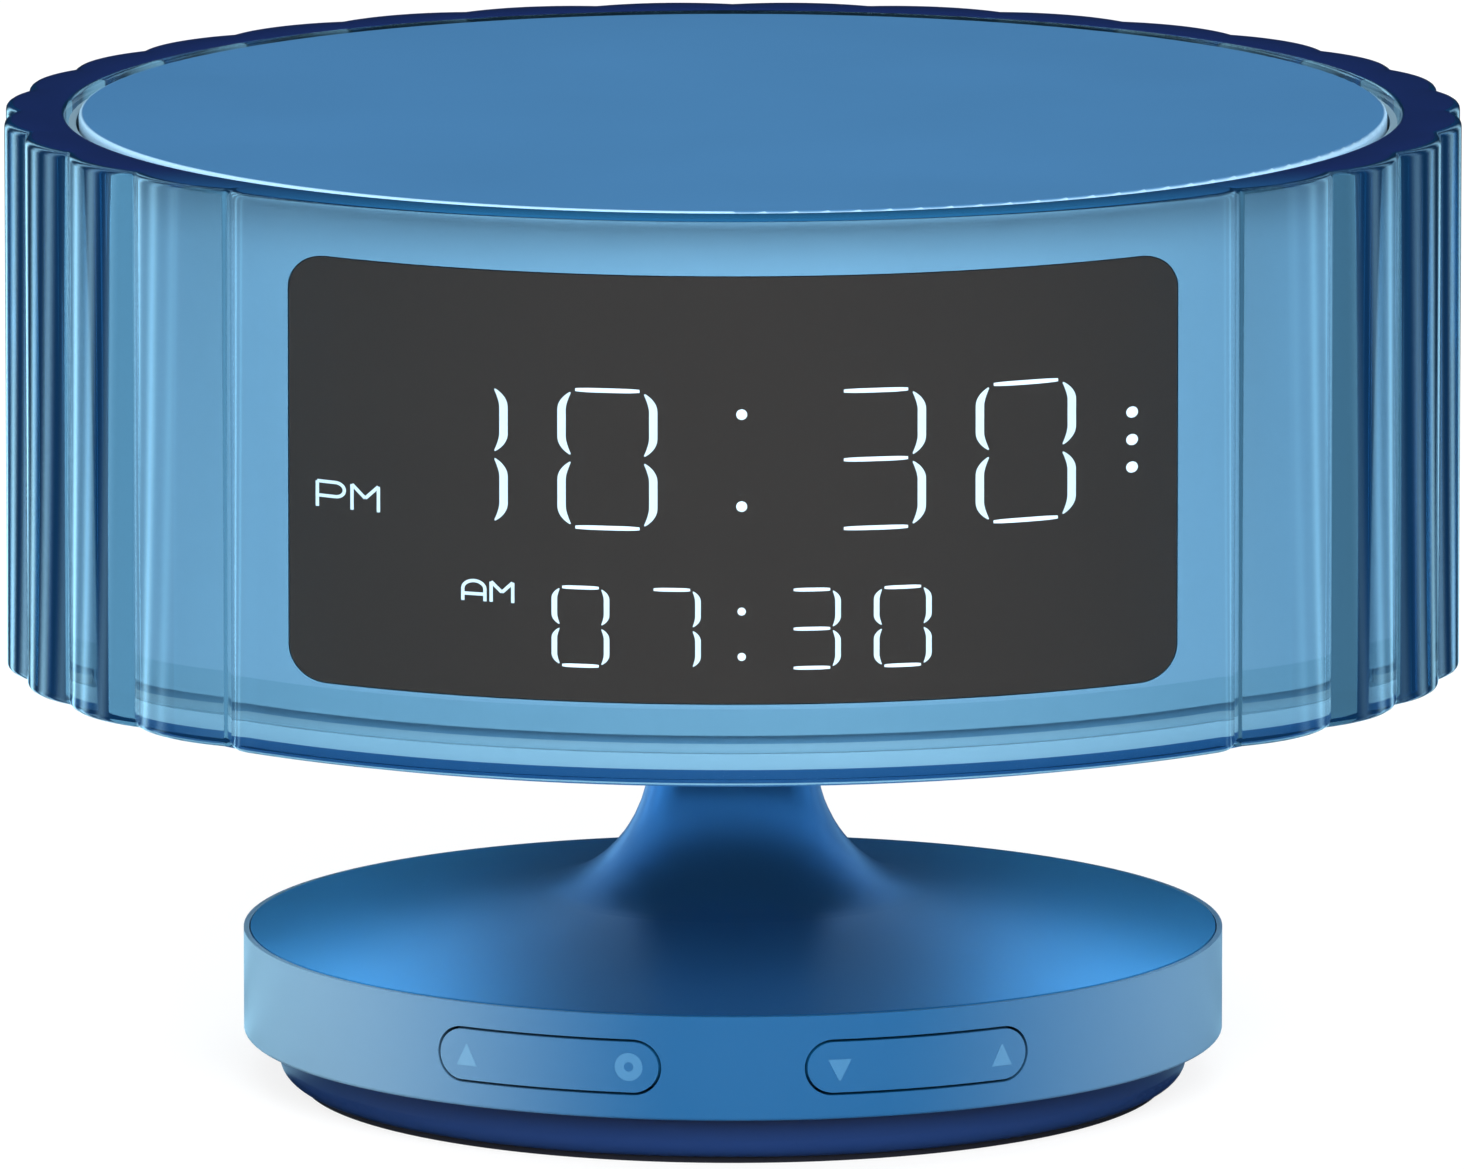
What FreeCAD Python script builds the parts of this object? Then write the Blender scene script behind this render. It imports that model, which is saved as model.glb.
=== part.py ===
import FreeCAD, Part
import math
import os
import re

import Sketcher

# A desk alarm clock: a drum-shaped head in a clear fluted shell, on a flared pedestal with a round base.
# Millimetres, +Z up, display towards -Y. The origin is on the table, under the middle of the foot.

# Driving dimensions
SIZES = (
    ("pad_width", 3.4, "rubber foot ring"),
    ("pad_margin", 2.0, "rubber foot ring inside the cover's edge"),
    ("pad_thickness", 1.2, "rubber foot ring"),
    ("pad_proud", 0.6, "how far the ring stands out of the cover"),
    ("fit_gap", 0.1, "clearance between pieces fixed to each other"),
    ("run_gap", 0.05, "clearance of a pin in its bore"),
    ("touch_gap", 0.05, "clearance of a moving face from its stop"),
    ("foot_inset", 3.2, "bottom cover inside the side wall's face"),
    ("cover_rise", 4.16, "bottom cover, below the side wall"),
    ("cover_floor", 2.4, "bottom cover, thickness"),
    ("cover_edge_round", 1.8, "bottom cover, lower edge"),
    ("spigot_wall", 1.4, "locating rim of the bottom cover"),
    ("base_radius", 43.8, "base side wall"),
    ("wall_rise", 9.3, "base side wall, height"),
    ("wall_thickness", 2.2, "base side wall"),
    ("flange_width", 6.2, "base side wall, bottom flange"),
    ("flange_thickness", 1.5, "base side wall, bottom flange"),
    ("wall_edge_round", 0.3, "base side wall, lower edge"),
    ("rebate_depth", 1.05, "step that holds the pedestal's edge"),
    ("rebate_lip", 0.5, "thin lip outside that step"),
    ("rebate_gap", 0.12, "seam between lip and pedestal"),
    ("neck_radius", 7.5, "pedestal neck"),
    ("neck_rise", 25.14, "from the top of the side wall to the head"),
    ("crown_slope", 7.71, "fall of the pedestal's top, degrees"),
    ("flare_radius", 12.0, "pedestal, between neck and top"),
    ("crown_hub_radius", 14.0, "pedestal, where the hollow turns up the neck"),
    ("crown_hub_rise", 1.9, "pedestal, hollow above the wall's top there"),
    ("flare_hollow_rise", 12.9, "pedestal, top of the hollow's cone"),
    ("neck_bore_radius", 3.6, "wire passage"),
    ("spigot_radius", 5.6, "threaded end of the neck"),
    ("spigot_rise", 9.0, "threaded end of the neck"),
    ("case_boss_inset", 11.9, "base screws inside the side wall's face"),
    ("case_boss_front_angle", 14.5, "front base screws, behind the X axis"),
    ("case_boss_rear_angle", 37.0, "rear base screws, behind the X axis"),
    ("case_boss_radius", 3.0, "screw bosses of the pedestal"),
    ("cover_boss_radius", 3.3, "screw bosses of the bottom cover"),
    ("case_boss_level", 5.5, "where the bosses of cover and pedestal meet"),
    ("case_boss_sink", 0.5, "bosses into the pedestal's top"),
    ("case_screw_radius", 1.45, "3 mm screws"),
    ("case_screw_length", 10.0, "3 mm screws, under the head"),
    ("case_screw_depth", 10.2, "holes of the 3 mm screws, from under the head"),
    ("case_head_radius", 2.6, "3 mm screws, head"),
    ("case_head_height", 1.6, "3 mm screws, head"),
    ("case_head_recess", 0.3, "heads below the cover's face"),
    ("cross_width", 0.6, "cross recess, width"),
    ("cross_length", 2.8, "cross recess, length"),
    ("cross_depth", 0.9, "cross recess, depth"),
    ("cell_radius", 5.25, "AAA cell"),
    ("cell_length", 44.5, "AAA cell with its nub"),
    ("cell_nub_radius", 1.9, "AAA cell, nub"),
    ("cell_nub_length", 1.0, "AAA cell, nub"),
    ("cell_pitch", 10.7, "between cells"),
    ("cell_gap", 0.15, "round the cells"),
    ("bay_shift", 4.0, "battery bay, towards the front"),
    ("bay_wall", 0.9, "battery bay"),
    ("bay_corner_cut", 2.4, "battery bay, inner top corners"),
    ("contact_thickness", 0.3, "battery contact plates"),
    ("contact_side", 7.6, "battery contact plates"),
    ("spring_room", 3.0, "battery bay, at the minus end of a cell"),
    ("contact_coil_radius", 2.4, "battery springs, mean radius"),
    ("contact_wire_radius", 0.25, "battery springs, wire"),
    ("contact_coil_pitch", 0.7, "battery springs"),
    ("contact_coil_turns", 3, "battery springs"),
    ("door_thickness", 1.3, "battery door"),
    ("door_ledge", 1.0, "battery door, rest around the bay"),
    ("door_gap", 0.3, "round the battery door"),
    ("door_corner", 1.5, "battery door, corner radius"),
    ("door_notch_width", 12.0, "finger notch of the door"),
    ("door_notch_depth", 0.7, "finger notch of the door"),
    ("door_notch_reach", 3.0, "finger notch of the door"),
    ("key_azimuth", 22.3, "middle of each key from the front, degrees"),
    ("key_length", 20.75, "key, straight across"),
    ("key_height", 4.5, "key"),
    ("key_groove", 0.25, "gap round a key"),
    ("key_depth", 2.5, "key, thickness"),
    ("key_pivot_inset", 4.1, "key pivots inside the side wall's face"),
    ("key_boss_radius", 1.5, "key pivot boss"),
    ("key_web_width", 2.4, "between key and boss"),
    ("key_web_height", 4.2, "between key and boss"),
    ("key_post_offset", 8.0, "posts to the switches, either side"),
    ("key_post_width", 1.8, "posts to the switches"),
    ("key_stroke", 0.26, "posts to the switch plungers"),
    ("key_end_gap", 0.2, "boss between its two ears"),
    ("pin_radius", 0.75, "key pivot pins"),
    ("pin_sink", 1.2, "key pivot pins, into the flange"),
    ("ear_width", 4.4, "ears that hold the pins"),
    ("ear_thickness", 1.0, "ears that hold the pins"),
    ("ear_drop", 1.15, "top of the ears under the wall's top"),
    ("ear_inset", 5.9, "ears that hold the pins, inner end inside the side wall's face"),
    ("board_thickness", 1.2, "circuit boards"),
    ("key_board_inset", 10.9, "key boards inside the side wall's face"),
    ("key_board_length", 22.4, "key boards"),
    ("key_board_height", 10.0, "key boards"),
    ("switch_side", 6.0, "push switches"),
    ("switch_depth", 3.4, "push switches"),
    ("plunger_radius", 1.6, "push switches, plunger"),
    ("plunger_proud", 0.9, "push switches, plunger"),
    ("base_board_width", 38.0, "board behind the battery bay"),
    ("base_board_gap", 2.5, "board behind the battery bay, from the bay"),
    ("base_board_inset", 2.6, "board behind the battery bay inside the side wall's face"),
    ("base_board_level", 6.4, "board behind the battery bay"),
    ("base_post_x", 14.0, "posts of that board"),
    ("base_post_setback", 13.5, "posts of that board, behind its front edge"),
    ("post_radius", 2.2, "board posts"),
    ("board_screw_radius", 0.9, "2 mm screws"),
    ("board_screw_length", 4.0, "2 mm screws, under the head"),
    ("board_head_radius", 1.8, "2 mm screws, head"),
    ("board_head_height", 1.2, "2 mm screws, head"),
    ("socket_width", 8.94, "power socket"),
    ("socket_height", 3.26, "power socket"),
    ("socket_length", 7.35, "power socket"),
    ("socket_shell", 0.3, "power socket, sheet metal"),
    ("socket_back", 1.2, "power socket, back wall"),
    ("tongue_thickness", 0.7, "power socket, tongue"),
    ("tongue_width", 6.2, "power socket, tongue"),
    ("tongue_length", 5.6, "power socket, tongue"),
    ("socket_inset", 0.4, "mouth behind the side wall's face"),
    ("socket_gap", 0.2, "round the power socket"),
    ("plug_width", 6.0, "wire connectors"),
    ("plug_depth", 4.6, "wire connectors"),
    ("header_height", 2.8, "wire connectors, on the board"),
    ("plug_margin", 0.3, "wire connectors, plug smaller than header"),
    ("plug_length", 3.0, "wire connectors, on the wires"),
    ("header_setback", 9.5, "connector of the base board, behind its front edge"),
    ("harness_radius", 0.9, "wires in their sleeve"),
    ("harness_gap", 1.0, "where the wires turn up, behind that board's front edge"),
    ("harness_neck_rise", 11.44, "where the wires turn up the neck, above the wall's top"),
    ("seat_drop", 0.7, "clear shell below the head floor"),
    ("lip_thickness", 0.8, "lip under the clear shell"),
    ("lip_reach", 1.5, "lip under the clear shell, beyond the drum"),
    ("rim_inset", 1.7, "inside of the head floor's rim, inside the drum's face"),
    ("drum_radius", 59.1, "inner drum"),
    ("drum_wall", 2.2, "inner drum"),
    ("band_rise", 1.6, "lowest band of the head floor"),
    ("step_rise", 1.6, "dark step above it"),
    ("step_inset", 1.2, "dark step above it, inside the drum's face"),
    ("floor_thickness", 2.0, "head floor"),
    ("channel_wall", 0.8, "inner wall of the lamp board's channel"),
    ("channel_width", 4.8, "channel for the lamp board"),
    ("channel_inset", 2.1, "channel for the lamp board, inside the drum's face"),
    ("channel_gap", 0.3, "either side of the lamp board"),
    ("channel_depth", 1.8, "channel for the lamp board"),
    ("lamp_board_thickness", 0.8, "lamp board"),
    ("lamp_count", 16, "lamps on that board"),
    ("lamp_length", 3.0, "lamps"),
    ("lamp_width", 1.4, "lamps"),
    ("lamp_height", 0.7, "lamps"),
    ("light_rise", 2.3, "light ring"),
    ("drum_screw_inset", 11.6, "drum screws inside the drum's face"),
    ("drum_screw_front_angle", 12.0, "front drum screws, before the X axis"),
    ("drum_screw_rear_angle", 60.0, "rear drum screws, behind the X axis"),
    ("drum_screw_sink", 1.0, "drum screws, counterbore"),
    ("column_radius", 3.2, "drum columns"),
    ("rib_thickness", 1.6, "ribs from column to wall"),
    ("washer_thickness", 1.0, "neck washer"),
    ("washer_radius", 9.5, "neck washer"),
    ("nut_height", 4.0, "neck nut"),
    ("nut_across_flats", 15.0, "neck nut"),
    ("shell_wall", 5.6, "clear shell, thickness at its lobes"),
    ("shell_gap", 0.3, "between drum and clear shell"),
    ("shell_rise", 49.4, "clear shell, height"),
    ("shell_chamfer", 0.6, "clear shell, edges"),
    ("flute_count", 24, "lobes of the clear shell"),
    ("flute_pitch", 11.364, "between valleys, degrees"),
    ("flute_depth", 1.0, "valleys"),
    ("valley_round", 1.5, "valleys, radius"),
    ("shoulder_round", 4.0, "where the smooth front begins, radius"),
    ("plate_recess", 0.1, "snooze plate below the shell's top"),
    ("plate_gap", 1.2, "between snooze plate and clear shell"),
    ("plate_thickness", 1.8, "snooze plate"),
    ("plate_round", 0.4, "snooze plate, top edge"),
    ("plate_travel", 0.9, "snooze plate, stroke"),
    ("plate_spare", 0.2, "left under the plate when it is pressed"),
    ("collar_gap", 0.25, "drum's collar, round the snooze plate"),
    ("deck_thickness", 1.6, "top deck of the drum"),
    ("leg_inset", 13.1, "plate legs inside the drum's face"),
    ("leg_thickness", 1.4, "plate legs"),
    ("leg_width", 4.0, "plate legs"),
    ("leg_hook", 1.2, "plate legs, hook"),
    ("leg_slot_gap", 0.3, "round the plate legs"),
    ("spring_inset", 29.1, "plate springs inside the drum's face"),
    ("cup_radius", 3.4, "spring cups, inside"),
    ("cup_wall", 0.9, "spring cups"),
    ("cup_depth", 5.5, "spring cups, below the deck's top"),
    ("coil_radius", 2.5, "plate springs, mean radius"),
    ("coil_wire_radius", 0.25, "plate springs, wire"),
    ("coil_turns", 5, "plate springs"),
    ("guide_radius", 1.8, "pins inside the plate springs"),
    ("guide_length", 2.6, "pins inside the plate springs"),
    ("snooze_board_length", 20.0, "board under the deck"),
    ("snooze_board_width", 12.0, "board under the deck"),
    ("snooze_post_rise", 2.2, "posts under the deck"),
    ("snooze_post_x", 7.0, "posts under the deck"),
    ("window_width", 74.8, "dark window, straight across"),
    ("window_height", 37.3, "dark window"),
    ("window_corner", 3.1, "dark window, corner radius"),
    ("window_rise", 0.4, "dark window above the drum's lower edge"),
    ("window_thickness", 1.05, "dark window"),
    ("window_ledge", 1.8, "ledge that the window is glued to"),
    ("display_inset", 18.1, "front of the display board, inside the drum's face"),
    ("display_side", 1.2, "display board inside the window's ends"),
    ("frame_side", 1.5, "segment frame inside the window's ends"),
    ("frame_margin", 1.4, "segment frame inside the window's height"),
    ("frame_gap", 0.4, "segment frame behind the drum's wall"),
    ("stroke_width", 1.2, "light wells of the digits"),
    ("row_shift", 0.73, "digit rows, to the right of the middle"),
    ("time_height", 12.3, "time digits"),
    ("time_width", 8.55, "time digits"),
    ("time_pitch", 12.6, "time digits"),
    ("time_spread", 17.6, "hour and minute pairs from the colon"),
    ("time_rise", 21.05, "middle of the time above the window's lower edge"),
    ("alarm_height", 7.5, "alarm digits"),
    ("alarm_width", 4.95, "alarm digits"),
    ("alarm_pitch", 7.65, "alarm digits"),
    ("alarm_spread", 9.75, "hour and minute pairs from the colon"),
    ("alarm_rise", 6.35, "middle of the alarm time above the window's lower edge"),
    ("time_colon", 4.05, "dots of the time's colon, above and below its middle"),
    ("alarm_colon", 2.0, "dots of the alarm's colon, above and below its middle"),
    ("dot_side", 1.0, "light wells of the dots"),
    ("dots_x", 33.1, "column of three dots, right of the digits' middle"),
    ("dots_rise", 22.7, "column of three dots above the window's lower edge"),
    ("dots_pitch", 2.45, "column of three dots"),
    ("mark_width", 5.6, "light wells of the morning and afternoon marks"),
    ("mark_height", 2.8, "light wells of those marks"),
    ("time_mark_x", 33.35, "mark of the time, left of the digits' middle"),
    ("time_mark_drop", 3.4, "mark of the time below the row's middle"),
    ("alarm_mark_x", 21.45, "mark of the alarm time, left of the digits' middle"),
    ("alarm_mark_rise", 3.0, "mark of the alarm time above the row's middle"),
    ("main_board_width", 54.0, "main board"),
    ("main_board_setback", 9.0, "main board behind the front of the display board"),
    ("main_board_rear", 16.0, "main board, behind the axis"),
    ("main_board_rise", 14.8, "main board above the head floor"),
    ("main_post_x", 22.0, "posts of the main board"),
    ("main_post_front", 18.0, "front posts of the main board"),
    ("main_post_rear", 11.0, "rear posts of the main board"),
    ("header_width", 28.0, "pin header of the display"),
    ("header_depth", 11.0, "pin header of the display"),
    ("header_rise", 4.0, "pin header of the display"),
    ("chip_side", 10.0, "chips"),
    ("chip_height", 1.6, "chips"),
    ("chip_offset", 14.0, "chips, either side of the axis"),
    ("speaker_inset", 26.1, "speaker's axis inside the drum's face"),
    ("speaker_radius", 14.0, "speaker"),
    ("speaker_rim", 1.5, "speaker, basket"),
    ("speaker_rise", 3.0, "speaker, basket"),
    ("cone_thickness", 0.4, "speaker cone"),
    ("cone_rise", 1.8, "speaker cone"),
    ("cone_lift", 0.8, "speaker cone above the floor"),
    ("magnet_radius", 8.0, "speaker magnet"),
    ("magnet_height", 4.0, "speaker magnet"),
    ("well_gap", 0.2, "round the speaker"),
    ("well_wall", 1.2, "ring round the speaker"),
    ("well_rise", 2.6, "ring round the speaker"),
    ("grille_radius", 0.8, "sound holes"),
    ("grille_pitch", 3.4, "sound holes, between their rings"),
    ("grille_rings", 3, "sound holes, rings"),
)

document = FreeCAD.newDocument("DeskAlarmClock")
sheet = document.addObject("Spreadsheet::Sheet", "Sizes")
for row, (alias, amount, note) in enumerate(SIZES, start=1):
    sheet.set(f"A{row}", alias)
    sheet.set(f"B{row}", str(amount))
    sheet.set(f"C{row}", note)
    sheet.setAlias(f"B{row}", alias)
document.recompute()

# Sizes that follow from the driving ones
FOLLOWS = {
    "cover_radius": "base_radius - foot_inset",
    "pad_outer_radius": "cover_radius - pad_margin",
    "pad_inner_radius": "pad_outer_radius - pad_width",
    "flange_bore_radius": "base_radius - flange_width",
    "case_boss_circle": "base_radius - case_boss_inset",
    "key_pivot_circle": "base_radius - key_pivot_inset",
    "ear_inner_radius": "base_radius - ear_inset",
    "key_board_radius": "base_radius - key_board_inset",
    "bay_rear": "cell_pitch + cell_radius + cell_gap + bay_wall - bay_shift",
    "base_board_front": "bay_rear + base_board_gap",
    "base_board_radius": "base_radius - base_board_inset",
    "base_post_y": "base_board_front + base_post_setback",
    "header_y": "base_board_front + header_setback",
    "harness_corner_y": "base_board_front + harness_gap",
    "lip_radius": "drum_radius + lip_reach",
    "rim_radius": "drum_radius - rim_inset",
    "step_radius": "drum_radius - step_inset",
    "channel_outer_radius": "drum_radius - channel_inset",
    "channel_inner_radius": "channel_outer_radius - channel_width",
    "platform_radius": "channel_inner_radius - channel_wall",
    "drum_screw_circle": "drum_radius - drum_screw_inset",
    "shell_bore_radius": "drum_radius + shell_gap",
    "shell_radius": "shell_bore_radius + shell_wall",
    "plate_radius": "shell_bore_radius - plate_gap",
    "leg_circle": "drum_radius - leg_inset",
    "spring_circle": "drum_radius - spring_inset",
    "display_plane": "drum_radius - display_inset",
    "display_width": "window_width - 2 * display_side",
    "frame_width": "window_width - 2 * frame_side",
    "main_board_front": "display_plane - main_board_setback",
    "speaker_y": "drum_radius - speaker_inset",
}
ALIASES = {alias for alias, amount, note in SIZES}
ORIGIN = FreeCAD.Vector(0, 0, 0)
UP = FreeCAD.Vector(0, 0, 1)
TOLERANCE = 1e-4
BEND_SHARE = 0.45  # share of the shorter run that a bend of the wires takes up
PIECES = {}

# Levels above the table, as formulas of the driving dimensions
CASE_SEAT = "(pad_proud + case_head_recess + case_head_height)"
COVER_TOP = "(pad_proud + cover_floor)"
WALL_LEVEL = "(pad_proud + cover_rise)"
FLANGE_TOP = f"({WALL_LEVEL} + flange_thickness)"
KEY_LEVEL = f"({WALL_LEVEL} + wall_rise / 2)"
RIM_LEVEL = f"({WALL_LEVEL} + wall_rise)"
EAR_TOP = f"({RIM_LEVEL} - ear_drop)"
EAR_LEVEL = f"({EAR_TOP} - ear_thickness)"
FLOOR_LEVEL = f"({RIM_LEVEL} + neck_rise)"
FLOOR_TOP = f"({FLOOR_LEVEL} + floor_thickness)"
SHELL_LEVEL = f"({FLOOR_LEVEL} - seat_drop)"
STEP_LEVEL = f"({FLOOR_LEVEL} + band_rise)"
LIGHT_LEVEL = f"({STEP_LEVEL} + step_rise)"
CHANNEL_LEVEL = f"({LIGHT_LEVEL} - channel_depth)"
DRUM_LEVEL = f"({LIGHT_LEVEL} + light_rise)"
WINDOW_LEVEL = f"({DRUM_LEVEL} + window_rise)"
PLATE_TOP = f"({SHELL_LEVEL} + shell_rise - plate_recess)"
PLATE_LEVEL = f"({PLATE_TOP} - plate_thickness)"
DECK_TOP = f"({PLATE_LEVEL} - plate_travel - plate_spare)"
DECK_LEVEL = f"({DECK_TOP} - deck_thickness)"
DOOR_TOP = "(pad_proud + door_thickness)"
CELL_LEVEL = f"({DOOR_TOP} + cell_gap + cell_radius)"
BAY_ROOF = f"({CELL_LEVEL} + cell_radius + cell_gap)"
MAIN_LEVEL = f"({FLOOR_TOP} + main_board_rise)"
MAIN_TOP = f"({MAIN_LEVEL} + board_thickness)"
BASE_BOARD_TOP = "(base_board_level + board_thickness)"
SOCKET_LEVEL = f"({BASE_BOARD_TOP} + socket_height / 2)"
SNOOZE_TOP = f"({DECK_LEVEL} - snooze_post_rise)"

# Places across the clock
BAY_HALF_LENGTH = "((cell_length + spring_room + contact_thickness + fit_gap) / 2)"
BAY_HALF_WIDTH = "(cell_pitch + cell_radius + cell_gap)"
DRUM_INNER = "(drum_radius - drum_wall)"
LEDGE_RADIUS = "(drum_radius - window_thickness)"
CASE_BOSSES = ("-case_boss_front_angle", "180 + case_boss_front_angle",
               "case_boss_rear_angle", "180 - case_boss_rear_angle")
DRUM_SCREWS = ("-drum_screw_front_angle", "180 + drum_screw_front_angle",
               "drum_screw_rear_angle", "180 - drum_screw_rear_angle")
LEG_ANGLES = ("90", "210", "330")
SPRING_ANGLES = ("30", "150", "270")
BASE_POSTS = (("-base_post_x", "base_post_y"), ("base_post_x", "base_post_y"))
MAIN_POSTS = (("-main_post_x", "-main_post_front"), ("main_post_x", "-main_post_front"),
              ("-main_post_x", "main_post_rear"), ("main_post_x", "main_post_rear"))
DISPLAY_SCREWS = tuple((f"{side} * (frame_width / 2 - post_radius)", level)
                       for side in (-1, 1)
                       for level in (f"{WINDOW_LEVEL} + frame_margin + post_radius",
                                     f"{WINDOW_LEVEL} + window_height - frame_margin - post_radius"))


# Tools of the drawing board
def formula(text):
    """A formula of the sizes, with each name pointed at the sheet."""
    def point(word):
        name = word.group()
        if name in FOLLOWS:
            return f"({formula(FOLLOWS[name])})"
        return f"Sizes.{name}" if name in ALIASES else name
    return re.sub(r"[a-z]\w*", point, str(text))


def bind(thing, formulas):
    """Ties properties of an object to formulas of the sizes."""
    for name, text in formulas.items():
        thing.setExpression(name, formula(text))
    return thing


def measure(text):
    """The value of a formula, read off a point that is put there and taken away again."""
    gauge = document.addObject("Part::Vertex", "gauge")
    bind(gauge, {"X": text})
    document.recompute()
    value = gauge.X.Value
    document.removeObject(gauge.Name)
    return value


def place(thing, x="0", y="0", z="0"):
    """Ties an object's position to formulas."""
    return bind(thing, {"Placement.Base.x": x, "Placement.Base.y": y, "Placement.Base.z": z})


def turn(thing, angle):
    """Turns an object about the clock's axis by a formula in degrees."""
    thing.Placement = FreeCAD.Placement(ORIGIN, FreeCAD.Rotation(UP, 1))
    return bind(thing, {"Placement.Rotation.Angle": angle})


def polar(radius, angle):
    """The x and y formulas of a point at a radius and an angle."""
    return f"({radius}) * cos({angle})", f"({radius}) * sin({angle})"


def block(name, wide, deep, high, x="0", y="0", z="0"):
    """A box centred on x and y, standing on z."""
    box = document.addObject("Part::Box", name)
    bind(box, {"Length": wide, "Width": deep, "Height": high})
    return place(box, f"({x}) - ({wide}) / 2", f"({y}) - ({deep}) / 2", z)


def rod(name, radius, length, x="0", y="0", z="0", axis="z"):
    """A cylinder that starts at x, y, z and runs along an axis."""
    turns = {"x": FreeCAD.Rotation(FreeCAD.Vector(0, 1, 0), 90),
             "y": FreeCAD.Rotation(FreeCAD.Vector(1, 0, 0), -90),
             "z": FreeCAD.Rotation()}
    cylinder = document.addObject("Part::Cylinder", name)
    cylinder.Placement = FreeCAD.Placement(ORIGIN, turns[axis])
    bind(cylinder, {"Radius": radius, "Height": length})
    return place(cylinder, x, y, z)


def tube(name, outer, inner, high, x="0", y="0", z="0"):
    """A round tube standing on z."""
    return cut(name, rod(f"{name}_outside", outer, high, x, y, z), rod(f"{name}_bore", inner, high, x, y, z))


def fuse(name, *shapes):
    """Solids joined into one."""
    union = document.addObject("Part::MultiFuse", name)
    union.Shapes = list(shapes)
    return union


def group(name, shapes):
    """Separate solids kept as one piece of the list."""
    compound = document.addObject("Part::Compound", name)
    compound.Links = list(shapes)
    return compound


def cut(name, base, *tools):
    """A solid with other solids taken out of it."""
    result = document.addObject("Part::Cut", name)
    result.Base = base
    result.Tool = tools[0] if len(tools) == 1 else fuse(f"{name}_tools", *tools)
    return result


def common(name, *shapes):
    """What solids share."""
    result = document.addObject("Part::MultiCommon", name)
    result.Shapes = list(shapes)
    return result


def sketch_outline(body, role, corners):
    """A closed sketch of straight lines on one of the body's own planes."""
    plane = next(item for item in body.Origin.OriginFeatures if item.Role == role)
    sketch = body.newObject("Sketcher::SketchObject", f"{body.Label}_outline")
    sketch.AttachmentSupport = [(plane, "")]
    sketch.MapMode = "FlatFace"
    count = len(corners)
    ring = [FreeCAD.Vector(math.cos(math.tau * i / count), math.sin(math.tau * i / count), 0)
            for i in range(count)]
    for i in range(count):
        sketch.addGeometry(Part.LineSegment(ring[i], ring[(i + 1) % count]), False)
    for i in range(count):
        sketch.addConstraint(Sketcher.Constraint("Coincident", i, 2, (i + 1) % count, 1))
    for i, corner in enumerate(corners):
        for kind, text, start in zip(("DistanceX", "DistanceY"), corner, (ring[i].x, ring[i].y)):
            index = sketch.addConstraint(Sketcher.Constraint(kind, -1, 1, i, 1, start))
            sketch.setExpression(f"Constraints[{index}]", formula(text))
    return sketch


def revolve(name, corners):
    """A body turned about the Z axis from corners given as radius and level."""
    body = document.addObject("PartDesign::Body", name)
    revolution = body.newObject("PartDesign::Revolution", f"{name}_turning")
    body.removeObject(revolution)
    sketch = sketch_outline(body, "XZ_Plane", corners)
    body.addObject(revolution)
    revolution.Profile = sketch
    revolution.ReferenceAxis = (sketch, ["V_Axis"])
    revolution.Angle = 360
    return body


def extrude(name, role, corners, length, both_ways=False):
    """A body pushed out of one of its planes: XZ towards the front, YZ to the right, XY up."""
    body = document.addObject("PartDesign::Body", name)
    sketch = sketch_outline(body, role, corners)
    pad = body.newObject("PartDesign::Pad", f"{name}_pad")
    pad.Profile = sketch
    pad.Midplane = both_ways
    bind(pad, {"Length": length})
    return body


def soften(body, radius, wanted):
    """Rounds the edges of a body that a test picks out."""
    document.recompute()
    base = body.Tip
    names = [f"Edge{i}" for i, edge in enumerate(base.Shape.Edges, start=1) if wanted(edge)]
    fillet = body.newObject("PartDesign::Fillet", f"{body.Label}_fillet")
    fillet.Base = (base, names)
    bind(fillet, {"Radius": radius})
    return body


def is_ring(edge, radius):
    """Whether an edge is a circle of that radius."""
    return isinstance(edge.Curve, Part.Circle) and abs(edge.Curve.Radius - radius) < TOLERANCE


def lowest_ring(body, radius):
    """A test for the lowest circle of that radius on a body."""
    document.recompute()
    level = min(edge.CenterOfMass.z for edge in body.Tip.Shape.Edges if is_ring(edge, radius))
    return lambda edge: is_ring(edge, radius) and abs(edge.CenterOfMass.z - level) < TOLERANCE


def highest_ring(body, radius):
    """A test for the highest circle of that radius on a body."""
    document.recompute()
    level = max(edge.CenterOfMass.z for edge in body.Tip.Shape.Edges if is_ring(edge, radius))
    return lambda edge: is_ring(edge, radius) and abs(edge.CenterOfMass.z - level) < TOLERANCE


def runs_along(direction):
    """A test for straight edges along a direction."""
    def test(edge):
        if not isinstance(edge.Curve, Part.Line):
            return False
        return abs(abs(edge.tangentAt(edge.FirstParameter).dot(direction)) - 1) < TOLERANCE
    return test


def pill(name, length, height, depth, x, z):
    """A bar with full-round ends, seen along +X, that starts at x."""
    straight = f"({length}) - ({height})"
    bar = document.addObject("Part::Box", f"{name}_bar")
    bind(bar, {"Length": depth, "Width": straight, "Height": height})
    place(bar, x, f"-({straight}) / 2", f"({z}) - ({height}) / 2")
    ends = [rod(f"{name}_end", f"({height}) / 2", depth, x, f"{side} * ({straight}) / 2", z, "x")
            for side in (-1, 1)]
    return fuse(name, bar, *ends)


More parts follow.
